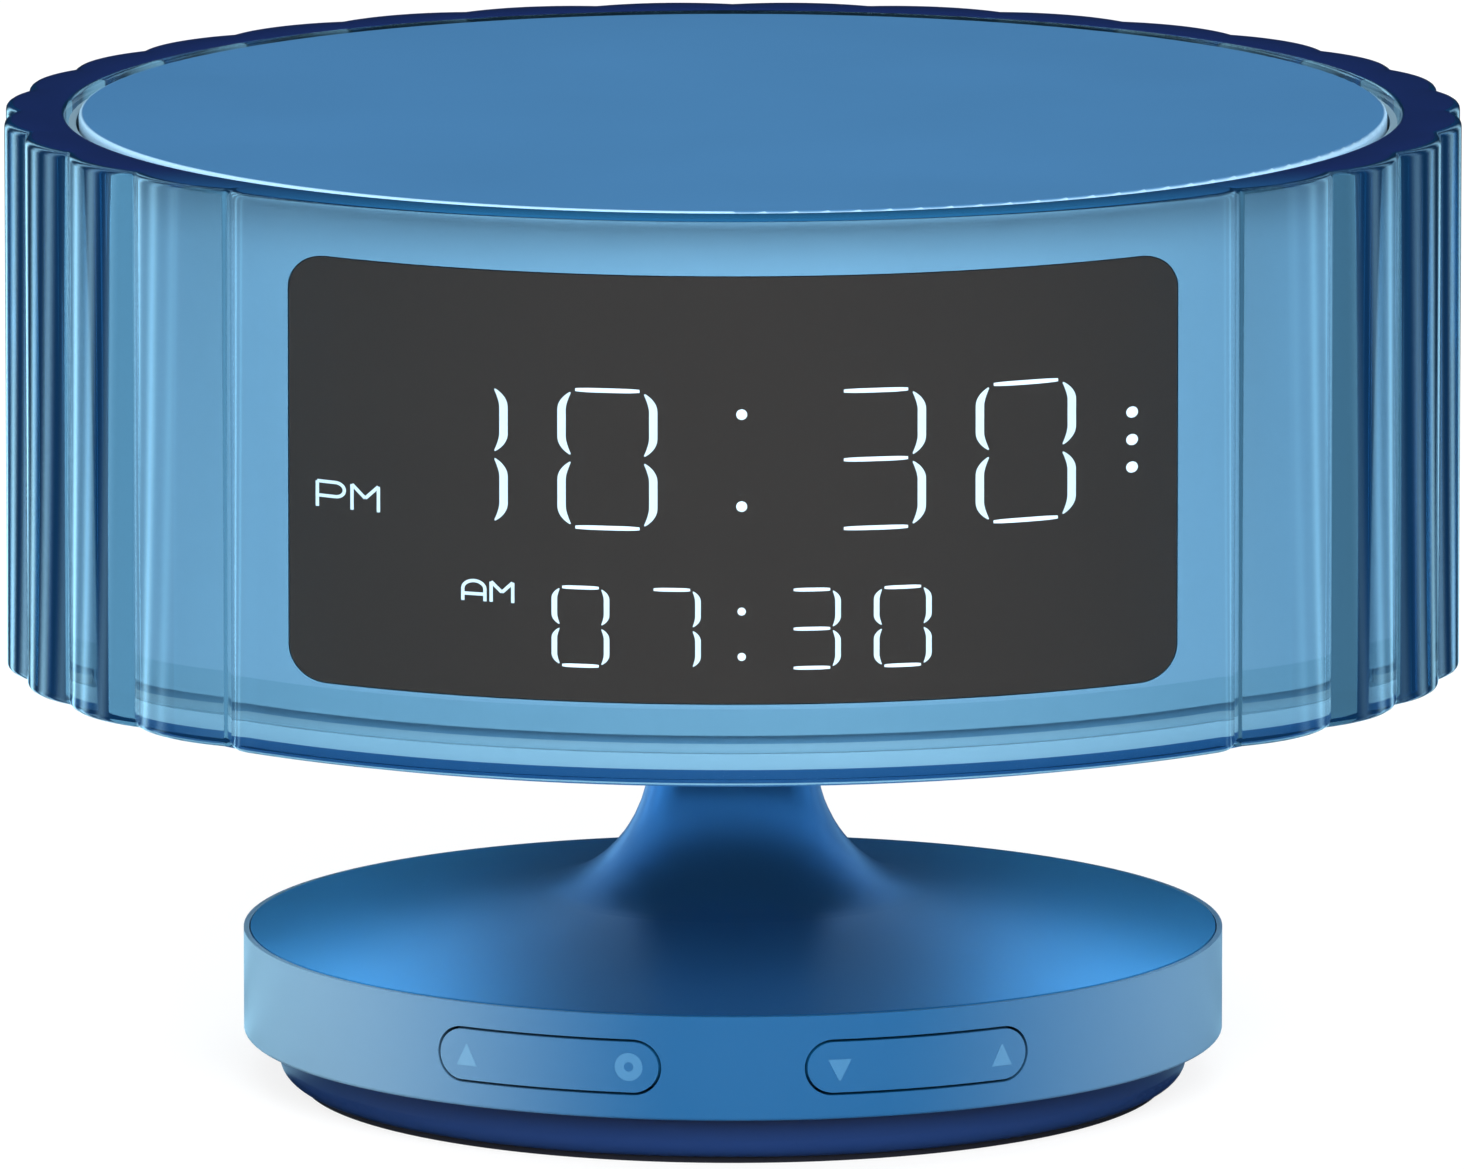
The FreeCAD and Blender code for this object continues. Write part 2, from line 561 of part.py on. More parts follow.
def coil(name, mean_radius, wire_radius, pitch, turns, x, y, z):
    """A compression spring that stands on z."""
    body = document.addObject("PartDesign::Body", name)
    plane = next(item for item in body.Origin.OriginFeatures if item.Role == "XZ_Plane")
    axis = next(item for item in body.Origin.OriginFeatures if item.Role == "Z_Axis")
    wire = body.newObject("Sketcher::SketchObject", f"{name}_wire")
    wire.AttachmentSupport = [(plane, "")]
    wire.MapMode = "FlatFace"
    wire.addGeometry(Part.Circle(FreeCAD.Vector(1, 1, 0), FreeCAD.Vector(0, 0, 1), 1), False)
    for constraint, text in ((Sketcher.Constraint("DistanceX", -1, 1, 0, 3, 1.0), mean_radius),
                             (Sketcher.Constraint("DistanceY", -1, 1, 0, 3, 1.0), wire_radius),
                             (Sketcher.Constraint("Radius", 0, 1.0), wire_radius)):
        index = wire.addConstraint(constraint)
        wire.setExpression(f"Constraints[{index}]", formula(text))
    helix = body.newObject("PartDesign::AdditiveHelix", f"{name}_helix")
    helix.Profile = wire
    helix.ReferenceAxis = (axis, [""])
    helix.Mode = 0
    bind(helix, {"Pitch": pitch, "Height": f"({pitch}) * ({turns})"})
    return place(body, x, y, z)


def screw(name, shank_radius, length, head_radius, head_height, x, y, z, up=True):
    """A pan-head screw; z is the seat of the head, and the shank goes up or down from it."""
    shank_z = z if up else f"({z}) - ({length})"
    head_z = f"({z}) - ({head_height})" if up else z
    cross_z = head_z if up else f"({z}) + ({head_height}) - cross_depth"
    solid = fuse(f"{name}_blank", rod(f"{name}_shank", shank_radius, length, x, y, shank_z),
                 rod(f"{name}_head", head_radius, head_height, x, y, head_z))
    along = block(f"{name}_cross", "cross_length", "cross_width", "cross_depth", x, y, cross_z)
    across = block(f"{name}_across", "cross_width", "cross_length", "cross_depth", x, y, cross_z)
    return cut(name, solid, along, across)


def keep(name, thing):
    """Names a finished sub-part."""
    thing.Label = name
    PIECES[name] = thing
    return thing


# Foot: a rubber ring in a groove of the bottom cover
def make_foot_ring():
    corners = (("pad_inner_radius", "0"), ("pad_outer_radius", "0"),
               ("pad_outer_radius", "pad_thickness"), ("pad_inner_radius", "pad_thickness"))
    keep("foot_ring", revolve("foot_ring", corners))


def bay_profile(margin):
    """The battery bay from the side, its top corners cut off to follow the outer cells, grown by a margin."""
    front = f"(-bay_shift - {BAY_HALF_WIDTH} - {margin})"
    rear = f"(-bay_shift + {BAY_HALF_WIDTH} + {margin})"
    top = f"({BAY_ROOF} + {margin})"
    slant = f"(bay_corner_cut + ({margin}) * (2 - sqrt(2)))"
    return ((front, "pad_proud"), (rear, "pad_proud"), (rear, f"{top} - {slant}"),
            (f"{rear} - {slant}", top), (f"{front} + {slant}", top), (front, f"{top} - {slant}"))


def door_blank(name, margin, low):
    """The battery door's outline, grown by a margin, from a level up to the door's top."""
    half_wide = f"({BAY_HALF_LENGTH} + door_ledge - door_gap + {margin})"
    half_deep = f"({BAY_HALF_WIDTH} + door_ledge - door_gap + {margin})"
    corners = [(f"{across} * {half_wide}", f"-bay_shift + {along} * {half_deep}")
               for across, along in ((-1, -1), (1, -1), (1, 1), (-1, 1))]
    body = extrude(name, "XY_Plane", corners, f"{DOOR_TOP} - {low}")
    soften(body, "door_corner", runs_along(UP))
    return place(body, z=low)


def make_bottom_cover():
    """Round dish with the battery bay, four screw bosses and two board posts."""
    groove_inner = "pad_inner_radius - fit_gap"
    groove_outer = "pad_outer_radius + fit_gap"
    rim_outer = "flange_bore_radius - fit_gap"
    rim_inner = f"{rim_outer} - spigot_wall"
    corners = (("0", "pad_proud"), (groove_inner, "pad_proud"), (groove_inner, "pad_thickness"),
               (groove_outer, "pad_thickness"), (groove_outer, "pad_proud"), ("cover_radius", "pad_proud"),
               ("cover_radius", WALL_LEVEL), (rim_outer, WALL_LEVEL), (rim_outer, FLANGE_TOP),
               (rim_inner, FLANGE_TOP), (rim_inner, COVER_TOP), ("0", COVER_TOP))
    dish = revolve("cover_dish", corners)
    soften(dish, "cover_edge_round", lowest_ring(dish, measure("cover_radius")))
    bay = extrude("bay_outside", "YZ_Plane", bay_profile("bay_wall"),
                  f"2 * ({BAY_HALF_LENGTH} + bay_wall)", both_ways=True)
    hollow = extrude("bay_inside", "YZ_Plane", bay_profile("0"), f"2 * {BAY_HALF_LENGTH}", both_ways=True)
    added = [bay]
    removed = [hollow, door_blank("door_recess", "door_gap", "pad_proud")]
    for angle in CASE_BOSSES:
        x, y = polar("case_boss_circle", angle)
        added.append(rod("cover_boss", "cover_boss_radius", "case_boss_level - pad_proud",
                         x, y, "pad_proud"))
        removed.append(rod("head_hole", "case_head_radius + fit_gap", f"{CASE_SEAT} - pad_proud",
                           x, y, "pad_proud"))
        removed.append(rod("shank_hole", "case_screw_radius + fit_gap", "case_boss_level", x, y, "0"))
    for x, y in BASE_POSTS:
        added.append(rod("board_post", "post_radius", "base_board_level - pad_thickness", x, y,
                         "pad_thickness"))
        removed.append(rod("post_pilot", "board_screw_radius + run_gap", "board_screw_length", x, y,
                           f"{BASE_BOARD_TOP} - board_screw_length"))
    keep("bottom_cover", cut("bottom_cover", fuse("cover_blank", dish, *added), *removed))


def make_battery_door():
    """Flush door under the battery bay, with a finger notch at its front edge."""
    blank = door_blank("door_blank", "0", "pad_proud")
    front = f"-bay_shift - {BAY_HALF_WIDTH} - door_ledge + door_gap"
    notch = block("door_notch", "door_notch_width", "door_notch_reach * 2", "door_notch_depth",
                  "0", front, "pad_proud")
    trimmed = cut("battery_door", blank, notch)
    keep("battery_door", trimmed)


def cell_y(number):
    """How far back the axis of a cell lies."""
    return f"-bay_shift + {number - 1} * cell_pitch"


def make_battery():
    """Three AAA cells side by side, every other one turned round, with their contacts."""
    plates = []
    springs = []
    for number in range(3):
        way = 1 if number % 2 == 0 else -1
        minus_end = f"{-way} * ({BAY_HALF_LENGTH} - spring_room)"
        body_length = "(cell_length - cell_nub_length)"
        body_start = minus_end if way > 0 else f"{minus_end} - {body_length}"
        nub_start = f"{minus_end} + {body_length}" if way > 0 else f"{minus_end} - cell_length"
        y = cell_y(number)
        can = rod("cell_can", "cell_radius", body_length, body_start, y, CELL_LEVEL, "x")
        nub = rod("cell_nub", "cell_nub_radius", "cell_nub_length", nub_start, y, CELL_LEVEL, "x")
        keep(f"battery_cell_{number + 1}", fuse("battery_cell", can, nub))
        for end in (-1, 1):
            plates.append(block("contact_plate", "contact_thickness", "contact_side", "contact_side",
                                f"{end} * ({BAY_HALF_LENGTH} - contact_thickness / 2)", y,
                                f"{CELL_LEVEL} - contact_side / 2"))
        spring = coil("contact_coil", "contact_coil_radius", "contact_wire_radius", "contact_coil_pitch",
                      "contact_coil_turns", f"{-way} * ({BAY_HALF_LENGTH} - contact_thickness - run_gap)",
                      y, CELL_LEVEL)
        spring.Placement = FreeCAD.Placement(ORIGIN, FreeCAD.Rotation(FreeCAD.Vector(0, 1, 0), 90 * way))
        springs.append(spring)
    keep("contact_plates", group("contact_plates", plates))
    keep("contact_springs", group("contact_springs", springs))


def key_angle(side):
    """Direction of a key: side -1 is the left one, +1 the right one."""
    return f"-90 + {side} * key_azimuth"


def make_base_ring():
    """Side wall with two key windows, the power socket's slot and ears for the key pins."""
    lip_inner = "(base_radius - rebate_lip)"
    seat = f"({RIM_LEVEL} - rebate_depth)"
    wall_inner = "(base_radius - wall_thickness)"
    corners = (("flange_bore_radius", WALL_LEVEL), ("base_radius", WALL_LEVEL), ("base_radius", RIM_LEVEL),
               (lip_inner, RIM_LEVEL), (lip_inner, seat), (wall_inner, seat), (wall_inner, FLANGE_TOP),
               ("flange_bore_radius", FLANGE_TOP))
    wall = revolve("ring_wall", corners)
    added = [soften(wall, "wall_edge_round", lowest_ring(wall, sheet.base_radius))]
    removed = []
    for side in (-1, 1):
        ear_length = f"({wall_inner} - ear_inner_radius + wall_thickness / 2)"
        ear = block("ear", ear_length, "ear_width", "ear_thickness",
                    f"ear_inner_radius + {ear_length} / 2", "0", EAR_LEVEL)
        window = pill("key_window", "key_length + 2 * key_groove", "key_height + 2 * key_groove",
                      "wall_thickness * 3", f"{wall_inner} - wall_thickness", KEY_LEVEL)
        pin_hole = rod("pin_hole", "pin_radius + run_gap", f"{RIM_LEVEL} - {FLANGE_TOP} + pin_sink",
                       "key_pivot_circle", "0", f"{FLANGE_TOP} - pin_sink")
        added.append(turn(group("ear_turned", [ear]), key_angle(side)))
        removed.append(turn(fuse("window_turned", window, pin_hole), key_angle(side)))
    slot = pill("socket_slot", "socket_width + 2 * socket_gap", "socket_height + 2 * socket_gap",
                "wall_thickness * 2", f"{wall_inner} - wall_thickness / 2", SOCKET_LEVEL)
    removed.append(turn(group("slot_turned", [slot]), "90"))
    keep("base_ring", cut("base_ring", fuse("ring_blank", *added), *removed))


def make_pedestal():
    """Flared top of the base and hollow neck in one moulding, with the neck's threaded end."""
    edge = "(base_radius - rebate_lip - rebate_gap)"
    seat = f"({RIM_LEVEL} - rebate_depth)"
    neck_foot = f"({RIM_LEVEL} + (base_radius - neck_radius) * tan(crown_slope))"
    spigot_top = f"({FLOOR_LEVEL} + spigot_rise)"
    hub = ("crown_hub_radius", f"{RIM_LEVEL} + crown_hub_rise")
    corners = (("0", spigot_top), ("spigot_radius", spigot_top), ("spigot_radius", FLOOR_LEVEL),
               ("neck_radius", FLOOR_LEVEL), ("neck_radius", neck_foot),
               (edge, f"{RIM_LEVEL} + (base_radius - {edge}) * tan(crown_slope)"), (edge, seat), ("0", seat))
    solid = revolve("crown_solid", corners)
    soften(solid, "flare_radius", lowest_ring(solid, sheet.neck_radius))
    hollow = revolve("crown_hollow", (
        ("0", seat), ("base_radius - wall_thickness - fit_gap", seat), hub,
        ("neck_bore_radius", f"{RIM_LEVEL} + flare_hollow_rise"), ("neck_bore_radius", spigot_top),
        ("0", spigot_top)))
    crown = cut("crown", solid, hollow)
    added = [crown]
    removed = []
    for angle in CASE_BOSSES:
        x, y = polar("case_boss_circle", angle)
        added.append(rod("crown_boss", "case_boss_radius", f"{RIM_LEVEL} + case_boss_sink - case_boss_level",
                         x, y, "case_boss_level"))
        removed.append(rod("crown_pilot", "case_screw_radius + run_gap", f"{CASE_SEAT} + case_screw_depth",
                           x, y, "0"))
    keep("pedestal", cut("pedestal", fuse("crown_blank", *added), *removed))


def make_base_screws():
    """Four screws up through the bottom cover into the pedestal."""
    screws = []
    for angle in CASE_BOSSES:
        x, y = polar("case_boss_circle", angle)
        screws.append(screw("base_screw", "case_screw_radius", "case_screw_length", "case_head_radius",
                            "case_head_height", x, y, CASE_SEAT))
    keep("base_screws", group("base_screws", screws))


def make_keys():
    """Two rocker keys flush in the side wall, each on an upright pin, with a post to each of its switches."""
    inner = "(base_radius - key_depth)"
    boss_level = f"({FLANGE_TOP} + key_end_gap)"
    boss_height = f"({EAR_LEVEL} - key_end_gap - {boss_level})"
    plunger_tip = "(key_board_radius + board_thickness + switch_depth + plunger_proud)"
    post_start = f"({plunger_tip} + key_stroke)"
    post_end = f"({inner} - fit_gap)"
    pins = []
    for side, name in ((-1, "key_left"), (1, "key_right")):
        face = common("key_face", pill("key_bar", "key_length", "key_height", "key_depth * 2",
                                       f"{inner} - key_depth / 2", KEY_LEVEL),
                      tube("key_shell", "base_radius", inner, f"{RIM_LEVEL}"))
        web = block("key_web", f"{inner} - key_pivot_circle + fit_gap", "key_web_width", "key_web_height",
                    f"({inner} + key_pivot_circle + fit_gap) / 2", "0", f"{KEY_LEVEL} - key_web_height / 2")
        boss = rod("key_boss", "key_boss_radius", boss_height, "key_pivot_circle", "0", boss_level)
        posts = [block("key_post", f"{post_end} - {post_start}", "key_post_width", "key_post_width",
                       f"({post_end} + {post_start}) / 2", f"{end} * key_post_offset",
                       f"{KEY_LEVEL} - key_post_width / 2") for end in (-1, 1)]
        bore = rod("key_bore", "pin_radius + run_gap", RIM_LEVEL, "key_pivot_circle", "0", "0")
        keep(name, turn(cut(name, fuse(f"{name}_blank", face, web, boss, *posts), bore), key_angle(side)))
        pin_length = f"{EAR_TOP} - {FLANGE_TOP} + pin_sink - fit_gap"
        pin = rod("key_pin", "pin_radius", pin_length, "key_pivot_circle", "0",
                  f"{FLANGE_TOP} - pin_sink + fit_gap")
        pins.append(turn(group("pin_turned", [pin]), key_angle(side)))
    keep("key_pins", group("key_pins", pins))


def make_key_boards():
    """An upright circuit board behind each key, with a push switch behind each of its ends."""
    switches = []
    for side, name in ((-1, "key_board_left"), (1, "key_board_right")):
        board = block("key_board_blank", "board_thickness", "key_board_length", "key_board_height",
                      "key_board_radius + board_thickness / 2", "0", f"{COVER_TOP} + run_gap")
        keep(name, turn(group(name, [board]), key_angle(side)))
        for end in (-1, 1):
            seat = "(key_board_radius + board_thickness)"
            can = block("key_switch_can", "switch_depth", "switch_side", "switch_side",
                        f"{seat} + switch_depth / 2", f"{end} * key_post_offset",
                        f"{KEY_LEVEL} - switch_side / 2")
            plunger = rod("key_plunger", "plunger_radius", "switch_depth / 2 + plunger_proud",
                          f"{seat} + switch_depth / 2", f"{end} * key_post_offset", KEY_LEVEL, "x")
            switches.append(turn(fuse("key_switch", can, plunger), key_angle(side)))
    keep("key_switches", group("key_switches", switches))


def make_base_board():
    """Board behind the battery bay, with the power socket on it."""
    depth = "(base_board_radius - base_board_front)"
    plank = block("base_board_plank", "base_board_width", depth, "board_thickness",
                  "0", f"base_board_front + {depth} / 2", "base_board_level")
    disc = rod("base_board_disc", "base_board_radius", "board_thickness", z="base_board_level")
    holes = [rod("base_board_hole", "board_screw_radius + fit_gap", "board_thickness", x, y,
                 "base_board_level") for x, y in BASE_POSTS]
    keep("base_board", cut("base_board", common("base_board_blank", plank, disc), *holes))


def make_power_socket():
    """Flat oval socket whose mouth lies just inside the rear of the side wall."""
    start = "(base_radius - socket_inset - socket_length)"
    outside = pill("socket_outside", "socket_width", "socket_height", "socket_length", start, SOCKET_LEVEL)
    inside = pill("socket_inside", "socket_width - 2 * socket_shell", "socket_height - 2 * socket_shell",
                  "socket_length", f"{start} + socket_back", SOCKET_LEVEL)
    tongue = block("socket_tongue", "tongue_length", "tongue_width", "tongue_thickness",
                   f"{start} + tongue_length / 2", "0", f"{SOCKET_LEVEL} - tongue_thickness / 2")
    socket = fuse("power_socket", cut("socket_can", outside, inside), tongue)
    keep("power_socket", turn(socket, "90"))


def make_harness():
    """Wires from the base board over the battery bay and up the neck to the main board."""
    head_low = f"{MAIN_LEVEL} - header_height"
    sockets = [block("base_header", "plug_width", "plug_depth", "header_height", "0", "header_y",
                     BASE_BOARD_TOP),
               block("head_header", "plug_width", "plug_depth", "header_height", "0", "0", head_low)]
    plug_width = "plug_width - 2 * plug_margin"
    base_plug = block("base_plug", plug_width, "plug_length", "header_height - 2 * plug_margin", "0",
                      "header_y - plug_depth / 2 - plug_length / 2", f"{BASE_BOARD_TOP} + plug_margin")
    head_plug = block("head_plug", plug_width, "plug_depth - 2 * plug_margin", "plug_length", "0", "0",
                      f"{head_low} - plug_length")
    keep("harness_sockets", group("harness_sockets", sockets))
    keep("harness_plugs", group("harness_plugs", [base_plug, head_plug]))
    start_z = measure(f"{BASE_BOARD_TOP} + header_height / 2")
    route = [FreeCAD.Vector(0, measure("header_y - plug_depth / 2 - plug_length"), start_z),
             FreeCAD.Vector(0, measure("harness_corner_y"), start_z),
             FreeCAD.Vector(0, 0, measure(f"{RIM_LEVEL} + harness_neck_rise")),
             FreeCAD.Vector(0, 0, measure(f"{head_low} - plug_length"))]
    edges = []
    here = route[0]
    length = 0
    for before, corner, after in zip(route, route[1:], route[2:]):
        inward = (before - corner).normalize()
        outward = (after - corner).normalize()
        half_turn = (math.pi - inward.getAngle(outward)) / 2
        reach = BEND_SHARE * min(before.distanceToPoint(corner), after.distanceToPoint(corner))
        radius = reach / math.tan(half_turn)
        first = corner + inward * reach
        last = corner + outward * reach
        bisector = (inward + outward).normalize()
        middle = corner + bisector * (radius / math.cos(half_turn) - radius)
        edges.append(Part.LineSegment(here, first).toShape())
        edges.append(Part.Arc(first, middle, last).toShape())
        length += here.distanceToPoint(first) + 2 * half_turn * radius
        here = last
        print(f"wire bend radius {radius:.1f} mm")
    edges.append(Part.LineSegment(here, route[-1]).toShape())
    length += here.distanceToPoint(route[-1])
    path = Part.Wire(edges)
    circle = Part.Wire(Part.makeCircle(sheet.harness_radius, route[0], route[1] - route[0]))
    sleeve = document.addObject("Part::Feature", "wire_harness")
    sleeve.Shape = path.makePipeShell([circle], True, False)
    share = sleeve.Shape.Volume / (math.pi * sheet.harness_radius ** 2 * length)
    print(f"wire harness {length:.1f} mm, volume over section times length {share:.4f}")
    keep("wire_harness", sleeve)


def make_neck_fastening():
    """Washer and nut that hold the head on the neck's threaded end."""
    keep("neck_washer", tube("neck_washer", "washer_radius", "spigot_radius + fit_gap", "washer_thickness",
                             z=FLOOR_TOP))
    nut_level = f"({FLOOR_TOP} + washer_thickness)"
    prism = document.addObject("Part::Prism", "nut_blank")
    prism.Polygon = 6
    bind(prism, {"Circumradius": "nut_across_flats / 2 / cos(30)", "Height": "nut_height"})
    place(prism, z=nut_level)
    bore = rod("nut_bore", "spigot_radius + run_gap", "nut_height", z=nut_level)
    keep("neck_nut", cut("neck_nut", prism, bore))


def make_head_floor():
    """Bottom of the head: a lip under the clear shell, the bright band, the step, the lamp channel."""
    lip_level = f"{SHELL_LEVEL} - lip_thickness"
    corners = (("spigot_radius + fit_gap", FLOOR_LEVEL), ("rim_radius", FLOOR_LEVEL),
               ("rim_radius", lip_level), ("lip_radius", lip_level),
               ("lip_radius", SHELL_LEVEL), ("drum_radius", SHELL_LEVEL),
               ("drum_radius", STEP_LEVEL), ("step_radius", STEP_LEVEL),
               ("step_radius", LIGHT_LEVEL), ("channel_outer_radius", LIGHT_LEVEL),
               ("channel_outer_radius", CHANNEL_LEVEL), ("channel_inner_radius", CHANNEL_LEVEL),
               ("channel_inner_radius", LIGHT_LEVEL), ("platform_radius", LIGHT_LEVEL),
               ("platform_radius", FLOOR_TOP), ("spigot_radius + fit_gap", FLOOR_TOP))
    added = [revolve("floor_dish", corners)]
    removed = []
    for x, y in MAIN_POSTS:
        added.append(rod("main_post", "post_radius", f"{MAIN_LEVEL} - {FLOOR_LEVEL}", x, y, FLOOR_LEVEL))
        removed.append(rod("main_pilot", "board_screw_radius + run_gap", "board_screw_length", x, y,
                           f"{MAIN_TOP} - board_screw_length"))
    well_radius = "speaker_radius + well_gap"
    added.append(tube("speaker_well", f"{well_radius} + well_wall", well_radius,
                      f"{FLOOR_TOP} + well_rise - {FLOOR_LEVEL}", "0", "speaker_y", FLOOR_LEVEL))
    for angle in DRUM_SCREWS:
        x, y = polar("drum_screw_circle", angle)
        removed.append(rod("drum_head_hole", "case_head_radius + fit_gap", "drum_screw_sink", x, y,
                           FLOOR_LEVEL))
        removed.append(rod("drum_shank_hole", "case_screw_radius + fit_gap", "floor_thickness", x, y,
                           FLOOR_LEVEL))
    removed.append(rod("sound_hole", "grille_radius", "floor_thickness", "0", "speaker_y", FLOOR_LEVEL))
    for ring in range(1, int(sheet.grille_rings) + 1):
        for step in range(6 * ring):
            x, y = polar(f"{ring} * grille_pitch", f"{step} * 60 / {ring}")
            removed.append(rod("sound_hole", "grille_radius", "floor_thickness", x, f"speaker_y + {y}",
                               FLOOR_LEVEL))
    keep("head_floor", cut("head_floor", fuse("floor_blank", *added), *removed))


def make_light_ring():
    """Milky ring that the lamps shine into, below the drum."""
    corners = (("platform_radius", LIGHT_LEVEL), ("drum_radius", LIGHT_LEVEL), ("drum_radius", DRUM_LEVEL),
               ("platform_radius", DRUM_LEVEL))
    keep("light_ring", revolve("light_ring", corners))


def make_lamps():
    """Ring-shaped board in the floor's channel with its lamps."""
    middle = "(channel_inner_radius + channel_outer_radius) / 2"
    keep("lamp_board", tube("lamp_board", "channel_outer_radius - channel_gap",
                            "channel_inner_radius + channel_gap", "lamp_board_thickness", z=CHANNEL_LEVEL))
    count = int(sheet.lamp_count)
    lamps = []
    for number in range(count):
        lamp = block("lamp", "lamp_width", "lamp_length", "lamp_height", middle, "0",
                     f"{CHANNEL_LEVEL} + lamp_board_thickness")
        lamps.append(turn(group("lamp_turned", [lamp]), f"{number} * 360 / {count}"))
    keep("lamps", group("lamps", lamps))


def make_drum_screws():
    """Four screws up through the head floor into the drum's columns."""
    screws = []
    for angle in DRUM_SCREWS:
        x, y = polar("drum_screw_circle", angle)
        screws.append(screw("drum_screw", "case_screw_radius", "case_screw_length", "case_head_radius",
                            "case_head_height", x, y, f"{FLOOR_LEVEL} + drum_screw_sink"))
    keep("drum_screws", group("drum_screws", screws))


def at(radius, angle):
    """A point of the XY plane at a radius and an angle in radians."""
    return FreeCAD.Vector(radius * math.cos(angle), radius * math.sin(angle), 0)


def heading(start, finish):
    """The direction from one point of the XY plane to another, in radians."""
    return math.atan2(finish.y - start.y, finish.x - start.x)


def arc(radius, centre, start, stop, way=1):
    """An arc between two directions, anticlockwise for way 1 and clockwise for way -1."""
    span = way * ((way * (stop - start)) % math.tau)
    return Part.Arc(*[centre + at(radius, start + share * span) for share in (0, 0.5, 1)]).toShape()


def shell_outline(radius, inset):
    """The clear shell from above, drawn in by an inset.

    Each lobe is an arc that touches the outer circle. Between two lobes a small arc, hollow side out, touches
    both. The two end valleys pass through a short shoulder arc into the smooth front, an arc about the axis.
    """
    outer = radius - inset
    hollow = sheet.valley_round + inset
    valley_circle = radius - sheet.flute_depth + sheet.valley_round
    pitch = math.radians(sheet.flute_pitch)
    count = int(sheet.flute_count)
    first = math.pi / 2 - pitch * count / 2
    last = first + pitch * count
    cosine = math.cos(pitch / 2)
    lobe = ((outer ** 2 + valley_circle ** 2 - 2 * outer * valley_circle * cosine - hollow ** 2)
            / (2 * (outer - valley_circle * cosine + hollow)))
    shoulder = sheet.shoulder_round - inset
    shoulder_circle = outer - shoulder
    lean = math.acos((shoulder_circle ** 2 + valley_circle ** 2 - (shoulder + hollow) ** 2)
                     / (2 * shoulder_circle * valley_circle))
    valleys = [at(valley_circle, first + number * pitch) for number in range(count + 1)]
    lobes = [at(outer - lobe, first + (number + 0.5) * pitch) for number in range(count)]
    right = at(shoulder_circle, first - lean)
    left = at(shoulder_circle, last + lean)
    edges = [arc(shoulder, right, first - lean, heading(right, valleys[0]))]
    for valley, before, after in zip(valleys, [right] + lobes, lobes + [left]):
        edges.append(arc(hollow, valley, heading(valley, before), heading(valley, after), way=-1))
        if after is not left:
            edges.append(arc(lobe, after, heading(after, valley), heading(after, valleys[len(edges) // 2])))
    edges.append(arc(shoulder, left, heading(left, valleys[-1]), last + lean))
    edges.append(arc(outer, ORIGIN, last + lean, first - lean))
    return Part.Wire(edges)


def make_clear_shell():
    """Clear ring with rounded lobes round its sides and back, and a smooth front."""
    radius = measure("shell_radius")
    chamfer = sheet.shell_chamfer
    rise = sheet.shell_rise
    slices = []
    for inset, level in ((chamfer, 0), (0, chamfer), (0, rise - chamfer), (chamfer, rise)):
        wire = shell_outline(radius, inset)
        wire.translate(UP * level)
        slices.append(wire)
    outside = Part.makeLoft(slices, True, True)
    bore = Part.makeCylinder(measure("shell_bore_radius"), rise)
    ring = document.addObject("Part::Feature", "clear_shell")
    ring.Shape = outside.cut(bore)
    place(ring, z=SHELL_LEVEL)
    keep("clear_shell", ring)


def window_blank(name, margin):
    """The dark window's outline, drawn in by a margin, pushed out to the front."""
    half = f"(window_width / 2 - ({margin}))"
    low = f"({WINDOW_LEVEL} + ({margin}))"
    high = f"({WINDOW_LEVEL} + window_height - ({margin}))"
    corners = ((f"-{half}", low), (half, low), (half, high), (f"-{half}", high))
    body = extrude(name, "XZ_Plane", corners, "shell_radius")
    return soften(body, f"window_corner - ({margin})", runs_along(FreeCAD.Vector(0, 1, 0)))


